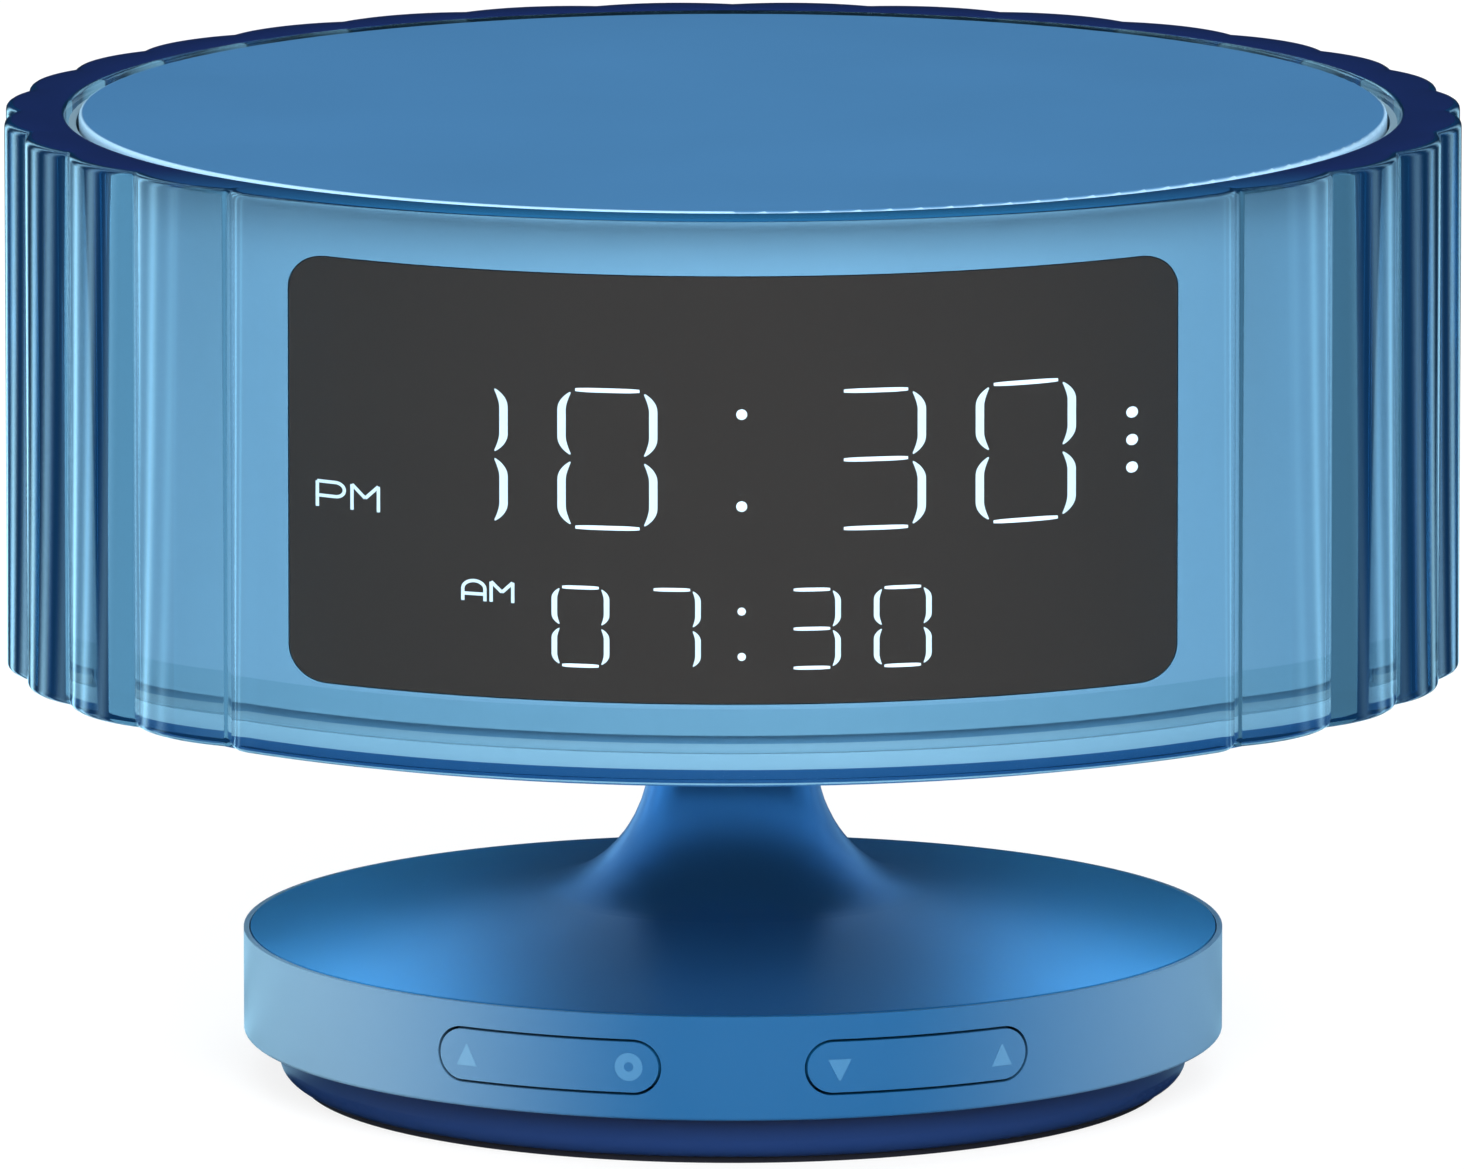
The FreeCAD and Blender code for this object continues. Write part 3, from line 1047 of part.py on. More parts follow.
def make_inner_drum():
    """Drum with a deck inside a low collar, the window's opening and ledge, screw columns and spring cups."""
    collar_top = f"({PLATE_TOP} - plate_travel)"
    corners = (("drum_radius", DRUM_LEVEL), ("drum_radius", collar_top),
               ("plate_radius + collar_gap", collar_top), ("plate_radius + collar_gap", DECK_TOP),
               ("0", DECK_TOP), ("0", DECK_LEVEL), (DRUM_INNER, DECK_LEVEL), (DRUM_INNER, DRUM_LEVEL))
    added = [revolve("drum_wall", corners)]
    removed = [common("window_recess", window_blank("recess_outline", "0"),
                      tube("recess_ring", "shell_radius", LEDGE_RADIUS, DECK_TOP)),
               window_blank("light_opening", "window_ledge")]
    deck_middle = f"({DECK_TOP} - deck_thickness / 2)"
    rib_length = f"({DRUM_INNER} - drum_screw_circle + drum_wall / 2)"
    for angle in DRUM_SCREWS:
        x, y = polar("drum_screw_circle", angle)
        added.append(rod("column", "column_radius", f"{deck_middle} - {FLOOR_TOP}", x, y, FLOOR_TOP))
        rib = block("rib", rib_length, "rib_thickness", f"{deck_middle} - {DRUM_LEVEL}",
                    f"drum_screw_circle + {rib_length} / 2", "0", DRUM_LEVEL)
        added.append(turn(group("rib_turned", [rib]), angle))
        removed.append(rod("column_pilot", "case_screw_radius + run_gap",
                           "drum_screw_sink + case_screw_depth", x, y, FLOOR_LEVEL))
    for angle in SPRING_ANGLES:
        x, y = polar("spring_circle", angle)
        added.append(rod("cup", "cup_radius + cup_wall", "cup_depth + cup_wall", x, y,
                         f"{DECK_TOP} - cup_depth - cup_wall"))
        removed.append(rod("cup_bore", "cup_radius", "cup_depth", x, y, f"{DECK_TOP} - cup_depth"))
    for angle in LEG_ANGLES:
        slot_length = "(leg_thickness + leg_hook + leg_slot_gap)"
        slot = block("leg_slot", slot_length, "leg_width + 2 * leg_slot_gap", "deck_thickness",
                     f"leg_circle - leg_thickness / 2 - leg_slot_gap + {slot_length} / 2 - leg_hook / 2",
                     "0", DECK_LEVEL)
        removed.append(turn(group("leg_slot_turned", [slot]), angle))
    removed.append(block("switch_hole", "switch_side + 1", "switch_side + 1", "deck_thickness", z=DECK_LEVEL))
    for side in (-1, 1):
        x = f"{side} * snooze_post_x"
        added.append(rod("deck_post", "post_radius", f"{deck_middle} - {SNOOZE_TOP}", x, "0", SNOOZE_TOP))
        removed.append(rod("deck_pilot", "board_screw_radius + run_gap",
                           "board_screw_length - board_thickness", x, "0", SNOOZE_TOP))
    keep("inner_drum", cut("inner_drum", fuse("drum_blank", *added), *removed))


def make_display():
    """Dark window, the frame with a light well for every stroke of the digits, and the display board."""
    window_ring = tube("window_ring", "drum_radius", f"{LEDGE_RADIUS} + fit_gap / 2", DECK_TOP)
    keep("display_window", common("display_window", window_blank("window_outline", "fit_gap"), window_ring))
    frame_low = f"({WINDOW_LEVEL} + frame_margin)"
    frame_height = "(window_height - 2 * frame_margin)"
    front = f"({DRUM_INNER} - frame_gap)"
    slab = block("frame_slab", "frame_width", f"{front} - display_plane", frame_height,
                 "0", f"-({front} + display_plane) / 2", frame_low)
    blank = common("frame_blank", slab, rod("frame_disc", front, frame_height, z=frame_low))
    wells = digit_wells()
    pilots = [rod("frame_pilot", "board_screw_radius + run_gap", "board_screw_length - board_thickness",
                  x, "-display_plane - board_screw_length + board_thickness", z, "y")
              for x, z in DISPLAY_SCREWS]
    keep("segment_frame", cut("segment_frame", blank, group("frame_tools", wells + pilots)))
    board = block("display_board_blank", "display_width", "board_thickness", frame_height,
                  "0", "-display_plane + board_thickness / 2", frame_low)
    holes = [rod("display_hole", "board_screw_radius + fit_gap", "board_thickness", x, "-display_plane",
                 z, "y") for x, z in DISPLAY_SCREWS]
    keep("display_board", cut("display_board", board, *holes))


def digit_wells():
    """Light wells through the frame: two rows of four seven-stroke digits, colons, dots and two marks."""
    wells = []
    depth = "shell_radius - display_plane"
    middle = "-(shell_radius + display_plane) / 2"

    def well(wide, high, x, z):
        wells.append(block("well", wide, depth, high, f"row_shift + ({x})", middle, f"{z} - ({high}) / 2"))

    for row in ("time", "alarm"):
        level = f"{WINDOW_LEVEL} + {row}_rise"
        half = f"{row}_height / 2"
        upright = f"({half} - 2 * stroke_width)"
        for pair in (-1, 1):
            for place_in_pair in (-0.5, 0.5):
                x = f"{pair} * {row}_spread + {place_in_pair} * {row}_pitch"
                for rung in (-1, 0, 1):
                    well(f"{row}_width - 3 * stroke_width", "stroke_width", x,
                         f"{level} + {rung} * ({half} - stroke_width / 2)")
                for across in (-1, 1):
                    for up in (-1, 1):
                        well("stroke_width", upright,
                             f"{x} + {across} * ({row}_width / 2 - stroke_width / 2)",
                             f"{level} + {up} * {half} / 2")
        for up in (-1, 1):
            well("dot_side", "dot_side", "0", f"{level} + {up} * {row}_colon")
    for dot in (-1, 0, 1):
        well("dot_side", "dot_side", "dots_x", f"{WINDOW_LEVEL} + dots_rise + {dot} * dots_pitch")
    well("mark_width", "mark_height", "-time_mark_x", f"{WINDOW_LEVEL} + time_rise - time_mark_drop")
    well("mark_width", "mark_height", "-alarm_mark_x", f"{WINDOW_LEVEL} + alarm_rise + alarm_mark_rise")
    return wells


def make_main_board():
    """Main board on the floor's posts, the display's pin header and two chips."""
    depth = "(main_board_front + main_board_rear)"
    plank = block("main_board_blank", "main_board_width", depth, "board_thickness",
                  "0", "(main_board_rear - main_board_front) / 2", MAIN_LEVEL)
    holes = [rod("main_board_hole", "board_screw_radius + fit_gap", "board_thickness", x, y, MAIN_LEVEL)
             for x, y in MAIN_POSTS]
    keep("main_board", cut("main_board", plank, *holes))
    keep("display_header", block("display_header", "header_width", "header_depth", "header_rise", "0",
                                 "-display_plane + board_thickness + header_depth / 2", MAIN_TOP))
    chips = [block("chip", "chip_side", "chip_side", "chip_height", f"{side} * chip_offset", "0", MAIN_TOP)
             for side in (-1, 1)]
    keep("board_chips", group("board_chips", chips))


def make_speaker():
    """Small round speaker over the sound holes: basket, cone and magnet."""
    top = f"({FLOOR_TOP} + speaker_rise)"
    inner = "(speaker_radius - speaker_rim)"
    basket = revolve("speaker_basket", (
        (inner, FLOOR_TOP), ("speaker_radius", FLOOR_TOP), ("speaker_radius", top),
        ("magnet_radius - speaker_rim", top), ("magnet_radius - speaker_rim", f"{top} - speaker_rim / 2"),
        (inner, f"{top} - speaker_rim / 2")))
    keep("speaker_basket", place(basket, y="speaker_y"))
    low = f"({FLOOR_TOP} + cone_lift)"
    tip = f"({low} + cone_rise - cone_thickness * 2)"
    cone = revolve("speaker_cone", (
        ("0", tip), ("magnet_radius / 2", tip), (f"{inner} - fit_gap", low),
        (f"{inner} - fit_gap", f"{low} + cone_thickness"), ("magnet_radius / 2", f"{tip} + cone_thickness"),
        ("0", f"{tip} + cone_thickness")))
    keep("speaker_cone", place(cone, y="speaker_y"))
    keep("speaker_magnet", rod("speaker_magnet", "magnet_radius", "magnet_height", "0", "speaker_y", top))


def make_snooze_switch():
    """Switch under the middle of the snooze plate, on a small board under the deck."""
    holes = [rod("snooze_hole", "board_screw_radius + fit_gap", "board_thickness",
                 f"{side} * snooze_post_x", "0", f"{SNOOZE_TOP} - board_thickness") for side in (-1, 1)]
    plank = block("snooze_board_blank", "snooze_board_length", "snooze_board_width", "board_thickness",
                  z=f"{SNOOZE_TOP} - board_thickness")
    keep("snooze_board", cut("snooze_board", plank, *holes))
    can = block("snooze_can", "switch_side", "switch_side", "switch_depth", z=SNOOZE_TOP)
    plunger = rod("snooze_plunger", "plunger_radius",
                  f"{PLATE_LEVEL} - plate_travel - touch_gap - {SNOOZE_TOP}", z=SNOOZE_TOP)
    keep("snooze_switch", fuse("snooze_switch", can, plunger))


def make_snooze_plate():
    """Round plate that is pressed down, on three springs and held by three hooked legs."""
    disc = revolve("plate_disc", (("0", PLATE_LEVEL), ("plate_radius", PLATE_LEVEL),
                                  ("plate_radius", PLATE_TOP), ("0", PLATE_TOP)))
    soften(disc, "plate_round", highest_ring(disc, measure("plate_radius")))
    added = [disc]
    hook_top = f"({DECK_LEVEL} - touch_gap)"
    leg_low = f"({hook_top} - leg_hook)"
    for angle in LEG_ANGLES:
        leg = block("leg", "leg_thickness", "leg_width", f"{PLATE_LEVEL} + plate_thickness / 2 - {leg_low}",
                    "leg_circle", "0", leg_low)
        hook = block("hook", "leg_thickness + leg_hook", "leg_width", "leg_hook",
                     "leg_circle + leg_hook / 2", "0", leg_low)
        added.append(turn(fuse("leg_turned", leg, hook), angle))
    for angle in SPRING_ANGLES:
        x, y = polar("spring_circle", angle)
        added.append(rod("guide", "guide_radius", "guide_length + plate_thickness / 2", x, y,
                         f"{PLATE_LEVEL} - guide_length"))
    keep("snooze_plate", fuse("snooze_plate", *added))
    height = f"({PLATE_LEVEL} - {DECK_TOP} + cup_depth - 2 * touch_gap)"
    springs = []
    for angle in SPRING_ANGLES:
        x, y = polar("spring_circle", angle)
        springs.append(coil("plate_coil", "coil_radius", "coil_wire_radius",
                            f"({height} - 2 * coil_wire_radius) / coil_turns", "coil_turns", x, y,
                            f"{DECK_TOP} - cup_depth + touch_gap"))
    keep("plate_springs", group("plate_springs", springs))


def make_board_screws():
    """The 2 mm screws of all the circuit boards."""
    sizes = ("board_screw_radius", "board_screw_length", "board_head_radius", "board_head_height")
    screws = [screw("board_screw", *sizes, x, y, BASE_BOARD_TOP, up=False) for x, y in BASE_POSTS]
    screws += [screw("board_screw", *sizes, x, y, MAIN_TOP, up=False) for x, y in MAIN_POSTS]
    screws += [screw("board_screw", *sizes, f"{side} * snooze_post_x", "0", f"{SNOOZE_TOP} - board_thickness")
               for side in (-1, 1)]
    for x, z in DISPLAY_SCREWS:
        shank = rod("display_shank", "board_screw_radius", "board_screw_length", x,
                    "-display_plane + board_thickness - board_screw_length", z, "y")
        head = rod("display_head", "board_head_radius", "board_head_height", x,
                   "-display_plane + board_thickness", z, "y")
        screws.append(fuse("display_screw", shank, head))
    keep("board_screws", group("board_screws", screws))


make_foot_ring()
make_bottom_cover()
make_battery_door()
make_battery()
make_base_ring()
make_pedestal()
make_base_screws()
make_keys()
make_key_boards()
make_base_board()
make_power_socket()
make_harness()
make_neck_fastening()
make_head_floor()
make_light_ring()
make_lamps()
make_drum_screws()
make_clear_shell()
make_inner_drum()
make_display()
make_main_board()
make_speaker()
make_snooze_switch()
make_snooze_plate()
make_board_screws()
document.recompute()

# Every object is checked before anything is written
for thing in document.Objects:
    if "Invalid" in thing.State or "Error" in thing.State:
        raise RuntimeError(f"{thing.Label} failed: {thing.State}")
for name, piece in PIECES.items():
    if piece.Shape.isNull() or not piece.Shape.isValid():
        raise RuntimeError(f"{name} has no valid shape")

os.makedirs("parts", exist_ok=True)
for name, piece in PIECES.items():
    piece.Shape.exportStep(f"parts/{name}.step")
print(f"{len(PIECES)} pieces")
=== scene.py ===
import math

import bpy
import numpy as np
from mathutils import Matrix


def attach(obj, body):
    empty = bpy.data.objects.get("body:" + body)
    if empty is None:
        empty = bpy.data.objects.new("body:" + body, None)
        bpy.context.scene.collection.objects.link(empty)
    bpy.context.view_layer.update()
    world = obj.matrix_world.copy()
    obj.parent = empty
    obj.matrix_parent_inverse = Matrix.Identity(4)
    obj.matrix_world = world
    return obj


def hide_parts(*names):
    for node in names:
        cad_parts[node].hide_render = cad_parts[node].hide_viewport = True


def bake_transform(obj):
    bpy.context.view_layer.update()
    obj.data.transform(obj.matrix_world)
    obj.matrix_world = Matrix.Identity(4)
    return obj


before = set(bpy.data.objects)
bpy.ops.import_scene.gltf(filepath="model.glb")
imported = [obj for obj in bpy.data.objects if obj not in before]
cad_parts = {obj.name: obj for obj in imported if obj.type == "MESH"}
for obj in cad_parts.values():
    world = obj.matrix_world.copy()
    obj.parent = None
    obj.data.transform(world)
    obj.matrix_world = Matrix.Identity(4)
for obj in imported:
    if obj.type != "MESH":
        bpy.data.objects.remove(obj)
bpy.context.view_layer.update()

# A digital alarm clock for a desk: a drum in a clear blue fluted shell, on a flared pedestal with a
# round base. The view is a long lens, 2 m in front of the clock and 0.4 m above the table, tilted down ten
# degrees. It gives the photograph's nearly parallel lines.
view_distance, view_height, view_tilt = 2.02025, 0.39749, 0.172776740
lens_length, film_width = 564.05, 36.0
camera_data = bpy.data.cameras.new("view")
camera_data.sensor_width = film_width
camera_data.lens = lens_length
camera_data.clip_end = 50.0
camera = bpy.data.objects.new("view", camera_data)
camera.location = (0.0, -view_distance, view_height)
camera.rotation_euler = (math.pi / 2 - view_tilt, 0.0, 0.0)
bpy.context.collection.objects.link(camera)
scene = bpy.context.scene
scene.camera = camera
scene.view_settings.view_transform = "Standard"


# Table and studio: a wide white table that keeps the clock's shadow, an even white sky and four soft panels.
# Mirrored and refracted rays meet upright strips of light at both sides instead of the table and the sky.
def shader(tree):
    """A function that adds a node to a shader tree and returns it.

    Numbers, colours and sockets go to the node's inputs in order. Named ones with a capital go to the input
    of that name, and the others to the node's own settings, which are made first.
    """
    def give(socket, value):
        if isinstance(value, bpy.types.NodeSocket):
            tree.links.new(value, socket)
        else:
            socket.default_value = value

    def add(kind, *ordered, **named):
        node = tree.nodes.new("ShaderNode" + kind)
        for name, value in named.items():
            if name.islower():
                setattr(node, name, value)
        for socket, value in zip(node.inputs, ordered):
            give(socket, value)
        for name, value in named.items():
            if not name.islower():
                give(node.inputs[name.replace("_", " ")], value)
        return node
    return add


def work(add, operation, first, second=0.0):
    """The socket of a sum on one or two values or sockets."""
    return add("Math", first, second, operation=operation).outputs[0]


def ramp(add, value, low, high, low_gives=0.0, high_gives=1.0, way="SMOOTHSTEP"):
    """The socket of a value that runs from one amount to another between low and high."""
    return add("MapRange", value, low, high, low_gives, high_gives, interpolation_type=way).outputs["Result"]


def mirrored_or_bent(add):
    """A socket that is one for mirrored and refracted rays, and nought for others."""
    path = add("LightPath")
    return work(add, "MAXIMUM", path.outputs["Is Glossy Ray"], path.outputs["Is Transmission Ray"])


def strip_lights(add, toward):
    """Brightness that mirrored and refracted rays find round the clock, as a socket.

    Dark in front and behind; at both sides a row of upright strips of light, the left ones brighter. The
    bearing is the angle from the front. The strips are the square of a raised cosine of the bearing, times
    the side's light. Refracted rays see an even share of the side's light instead of the strips.
    """
    left_light, right_light, even_share, dark_light = 3.6, 1.9, 0.16, 0.015
    wave_height, wave_middle = 0.44, 0.56
    first_strip, strip_pitch = math.radians(92), math.radians(21.5)
    lit_from, lit_fully = math.radians(80), math.radians(104)
    dims_from, dark_behind = math.radians(150), math.radians(172)
    apart = add("SeparateXYZ", toward)
    across, back = apart.outputs["X"], apart.outputs["Y"]
    bearing = work(add, "ARCTAN2", work(add, "ABSOLUTE", across), work(add, "MULTIPLY", back, -1.0))
    turned = work(add, "MULTIPLY", work(add, "SUBTRACT", bearing, first_strip), 2 * math.pi / strip_pitch)
    wave = work(add, "MULTIPLY", work(add, "COSINE", turned), wave_height)
    raised = work(add, "ADD", wave, wave_middle)
    strips = work(add, "POWER", raised, 2.0)
    gate = work(add, "MULTIPLY", ramp(add, bearing, lit_from, lit_fully),
                ramp(add, bearing, dims_from, dark_behind, 1, 0))
    side = ramp(add, across, -0.01, 0.01, left_light, right_light)
    bent = add("LightPath").outputs["Is Transmission Ray"]
    pattern = work(add, "MAXIMUM", work(add, "MULTIPLY", strips, work(add, "SUBTRACT", 1.0, bent)),
                   work(add, "MULTIPLY", bent, even_share))
    lit = work(add, "MULTIPLY", work(add, "MULTIPLY", gate, side), pattern)
    return work(add, "MAXIMUM", lit, dark_light)


# Lengths of pieces are written in millimetres, and made metres as they go into a mesh or a material.
MM = 0.001


def surface(name, corners, faces):
    """A mesh object from an array of corners in millimetres and a list of faces."""
    mesh = bpy.data.meshes.new(name)
    mesh.from_pydata((np.asarray(corners, dtype=float).reshape(-1, 3) * MM).tolist(), [], faces)
    mesh.update()
    thing = bpy.data.objects.new(name, mesh)
    bpy.context.collection.objects.link(thing)
    return thing


def new_material(name):
    """A material with nodes, its shader, the function that adds nodes, and a way to set its output."""
    material = bpy.data.materials.new(name)
    material.use_nodes = True
    tree = material.node_tree

    def show(socket, kind="Surface"):
        tree.links.new(socket, tree.nodes["Material Output"].inputs[kind])
    return material, tree.nodes["Principled BSDF"], shader(tree), show


strip_blue = (0.40, 0.77, 1.0, 1)
table_half, white_to_camera, sky_light = 4000.0, 0.8, 0.50
table = surface("table", [(-table_half, -table_half, 0), (table_half, -table_half, 0),
                          (table_half, table_half, 0), (-table_half, table_half, 0)], [(0, 1, 2, 3)])
table_white, plain, add, show = new_material("table_white")
plain.inputs["Base Color"].default_value = (0.86, 0.87, 0.88, 1)
plain.inputs["Roughness"].default_value = 0.9
glow = add("Emission", Color=(1, 1, 1, 1), Strength=1.0)
shade = add("Emission", Color=strip_blue, Strength=strip_lights(add, add("TexCoord").outputs["Object"]))
white_share = work(add, "MULTIPLY", add("LightPath").outputs["Is Camera Ray"], white_to_camera)
direct = add("MixShader", white_share, plain.outputs[0], glow.outputs[0])
show(add("MixShader", mirrored_or_bent(add), direct.outputs[0], shade.outputs[0]).outputs[0])
table.data.materials.append(table_white)

sky = bpy.data.worlds.new("sky")
scene.world = sky
sky.use_nodes = True
add = shader(sky.node_tree)
sharp = mirrored_or_bent(add)
strips = strip_lights(add, add("TexCoord").outputs["Generated"])
level = add("Mix", Factor=sharp, A=sky_light, B=strips)
cast = add("Mix", data_type="RGBA", Factor=sharp, A=(1, 1, 1, 1), B=strip_blue)
seen = work(add, "MAXIMUM", level.outputs["Result"], add("LightPath").outputs["Is Camera Ray"])
even = sky.node_tree.nodes["Background"]
sky.node_tree.links.new(cast.outputs["Result"], even.inputs["Color"])
sky.node_tree.links.new(seen, even.inputs["Strength"])


def panel(name, place, size, power, colour=(1, 1, 1)):
    """A square soft light that looks at the clock's middle. Mirrored and refracted rays don't meet it."""
    clock_middle = np.array([0.0, 0.0, 0.05])
    data = bpy.data.lights.new(name, "AREA")
    data.shape = "SQUARE"
    data.size = size
    data.energy = power
    data.color = colour
    light = bpy.data.objects.new(name, data)
    light.location = place
    toward = clock_middle - np.array(place)
    light.rotation_euler = (math.atan2(math.hypot(toward[0], toward[1]), -toward[2]), 0.0,
                            math.atan2(toward[1], toward[0]) - math.pi / 2)
    light.visible_transmission = False
    light.visible_glossy = False
    bpy.context.collection.objects.link(light)


panel("left_panel", (-1.30, 0.30, 0.50), 1.1, 17.0, (1.0, 0.95, 0.88))
panel("right_panel", (1.15, 0.85, 0.50), 0.9, 20.0)
panel("front_panel", (0.1, -1.45, 0.80), 0.9, 49.0)
panel("top_panel", (0.0, 0.0, 1.5), 1.0, 5.0)


# Base: the rubber ring, the bottom cover with its door, the blue side wall with two rocker keys, and the
# pedestal. Satin moulded plastic with a fine grain, metallised on the pedestal; the ring is matt rubber. The
# cover is painted navy as shade, the wall and keys carry painted highlights towards their sides, the pedestal
# a painted reflection.
def moulded(name, colour, roughness=0.42, grain=0.5, mottle=0.04, metal=0.0, shine=0.3):
    """Satin moulded plastic: a fine bump of noise, and slow changes of shade and gloss."""
    material, skin, add, _ = new_material(name)
    skin.inputs["Metallic"].default_value = metal
    skin.inputs["Specular IOR Level"].default_value = shine
    gloss_spread, grain_strength, grain_depth = 0.05, 0.12, 0.03 * MM
    here = add("TexCoord").outputs["Object"]
    slow = add("TexNoise", Vector=here, Scale=38.0, Detail=3.0).outputs["Fac"]
    fine = add("TexNoise", Vector=here, Scale=4200.0, Detail=2.0).outputs["Fac"]
    shade = add("Mix", data_type="RGBA", Factor=slow, A=(*[c * (1 - mottle) for c in colour], 1),
                B=(*[min(1.0, c * (1 + mottle)) for c in colour], 1))
    gloss = add("MapRange", Value=slow, To_Min=roughness - gloss_spread, To_Max=roughness + gloss_spread)
    bump = add("Bump", Strength=grain_strength * grain, Distance=grain_depth, Height=fine)
    links = material.node_tree.links
    links.new(shade.outputs["Result"], skin.inputs["Base Color"])
    links.new(gloss.outputs["Result"], skin.inputs["Roughness"])
    links.new(bump.outputs["Normal"], skin.inputs["Normal"])
    return material


def tint(material, share, colour, way="MIX"):
    """Mixes a colour into a material's base colour by a share; both can be sockets."""
    tree = material.node_tree
    base = tree.nodes["Principled BSDF"].inputs["Base Color"]
    mixed = shader(tree)("Mix", data_type="RGBA", blend_type=way, Factor=share, A=base.links[0].from_socket,
                         B=colour)
    tree.links.new(mixed.outputs["Result"], base)


def place_on(add):
    """Sockets of a spot's place on the clock, across, back and up, and of its distance from the axis."""
    here = add("TexCoord").outputs["Object"]
    apart = add("SeparateXYZ", here)
    flat = add("VectorMath", here, (1, 1, 0), operation="MULTIPLY")
    return (*apart.outputs, add("VectorMath", flat.outputs[0], operation="LENGTH").outputs["Value"])


def paint_side_highlights(material):
    """Painted highlights: the colour turns paler towards both sides of the base, more on its left, as side
    light would make it.
    """
    add = shader(material.node_tree)
    across = place_on(add)[0]
    for start, end, most in ((-4.0, -44.0, 0.165), (12.0, 52.0, 0.13)):
        tint(material, ramp(add, across, start * MM, end * MM, 0, most), (0.66, 0.96, 1.0, 1))


def dress(material, *names):
    """Gives CAD nodes a material."""
    for name in names:
        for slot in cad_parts[name].material_slots:
            slot.material = material


rubber = moulded("rubber", (0.012, 0.013, 0.020), roughness=0.75, grain=1.0, shine=0.2)
# Painted shade: the bottom cover and door are a darker navy than the wall, for the base's shaded underside.
navy = moulded("navy_cover", (0.005, 0.022, 0.090), roughness=0.40)
wall_blue = moulded("wall_blue", (0.003, 0.066, 0.175), shine=0.6)
key_blue = moulded("key_blue", (0.004, 0.069, 0.180), shine=0.6)
# Painted highlights towards the sides of the wall and keys.
paint_side_highlights(wall_blue)
paint_side_highlights(key_blue)
crown_blue = moulded("crown_blue", (0.042, 0.190, 0.460), roughness=0.34, metal=0.85)
# Painted reflection: the pedestal's blue turns paler and brighter towards its left and right, for bright
# studio sides seen in its metal.
add = shader(crown_blue.node_tree)
aside = work(add, "ABSOLUTE", place_on(add)[0])
tint(crown_blue, ramp(add, aside, 8 * MM, 36 * MM), (0.085, 0.480, 0.980, 1))
dress(rubber, "foot_ring")
dress(navy, "bottom_cover", "battery_door")
dress(wall_blue, "base_ring")
dress(key_blue, "key_left", "key_right")
dress(crown_blue, "pedestal")


# Key marks: up and down arrows and a ring, printed in a paler blue on the two keys. The print is 0.03 mm
# thick and rocks with its key.
def printed(name, spots, azimuth, level, wraps=False):
    """A thin slab bent round an upright cylinder, from a grid of (along, up) spots.

    A spot lies at the azimuth plus along divided by the radius, and at the level plus up. The grid is laid
    at the front radius and again at the back radius, and its open borders are joined by walls.
    """
    back, front = 43.79, 43.82
    rows, columns = spots.shape[:2]
    turn = azimuth + spots[..., 0] / front
    corners = [np.stack([radius * np.sin(turn), -radius * np.cos(turn), level + spots[..., 1]], axis=-1)
               for radius in (front, back)]

    def corner(layer, row, column):
        return layer * rows * columns + row * columns + column % columns

    def wall(first, second):
        return [corner(0, *first), corner(0, *second), corner(1, *second), corner(1, *first)]
    faces = []
    around = columns if wraps else columns - 1
    for row in range(rows - 1):
        for column in range(around):
            quad = [(row, column), (row, column + 1), (row + 1, column + 1), (row + 1, column)]
            faces.append([corner(0, *at) for at in quad])
            faces.append([corner(1, *at) for at in reversed(quad)])
    for column in range(around):
        faces.append(wall((0, column + 1), (0, column)))
        faces.append(wall((rows - 1, column), (rows - 1, column + 1)))
    if not wraps:
        for row in range(rows - 1):
            faces.append(wall((row, 0), (row + 1, 0)))
            faces.append(wall((row + 1, columns - 1), (row, columns - 1)))
    return surface(name, np.concatenate([layer.reshape(-1, 3) for layer in corners]), faces)


def arrow(upward):
    """Spots of a triangle with a slightly blunt tip; it narrows evenly from its foot."""
    wide, high, foot, narrowing = 2.1, 1.9, 0.45, 0.93
    rise, across = np.meshgrid(np.linspace(0, 1, 9), np.linspace(-1, 1, 9), indexing="ij")
    half = wide / 2 * (1 - narrowing * rise)
    up = (rise - foot) * high
    return np.stack([half * across, up], axis=-1) if upward else np.stack([-half * across, -up], axis=-1)


def ring():
    """Spots of a flat ring; each row is a circle."""
    outer, inner = 1.25, 0.42
    reach, turn = np.meshgrid(np.linspace(outer, inner, 5), np.linspace(0, 2 * math.pi, 40, endpoint=False),
                              indexing="ij")
    return np.stack([reach * np.cos(turn), reach * np.sin(turn)], axis=-1)


mark_blue = moulded("mark_blue", (0.032, 0.122, 0.240), roughness=0.45)
# Painted highlights towards the sides of the key marks too.
paint_side_highlights(mark_blue)
for name, spots, azimuth, level, body, wraps in (
        ("mark_left_up", arrow(True), -32.33, 9.28, "left_key", False),
        ("mark_left_ring", ring(), -12.08, 9.44, "left_key", True),
        ("mark_right_down", arrow(False), 12.37, 9.25, "right_key", False),
        ("mark_right_up", arrow(True), 32.70, 9.25, "right_key", False)):
    mark = printed(name, spots, math.radians(azimuth), level, wraps=wraps)
    mark.data.materials.append(mark_blue)
    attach(mark, body)


# Head: the floor with its bands, the milky light ring, the drum and its top plate. Satin blue plastic, paler
# than the base because it is lit from inside the clear shell. The plate's rounded edge has a painted
# highlight.
drum_blue = moulded("drum_blue", (0.185, 0.290, 0.360), roughness=0.38)
plate_blue = moulded("plate_blue", (0.038, 0.128, 0.262), roughness=0.40, shine=0.15)
plate_face_end, plate_edge_start = 57.85, 58.00
add = shader(plate_blue.node_tree)
# Painted highlight: a paler ring on the plate's rounded edge.
edge = ramp(add, place_on(add)[3], plate_face_end * MM, plate_edge_start * MM, way="LINEAR")
tint(plate_blue, edge, (0.240, 0.400, 0.550, 1))
milky = moulded("milky_ring", (0.145, 0.250, 0.310), roughness=0.5)
window_grey = moulded("window_grey", (0.048, 0.026, 0.016), roughness=0.5, grain=0.05, mottle=0.01,
                      shine=0.1)
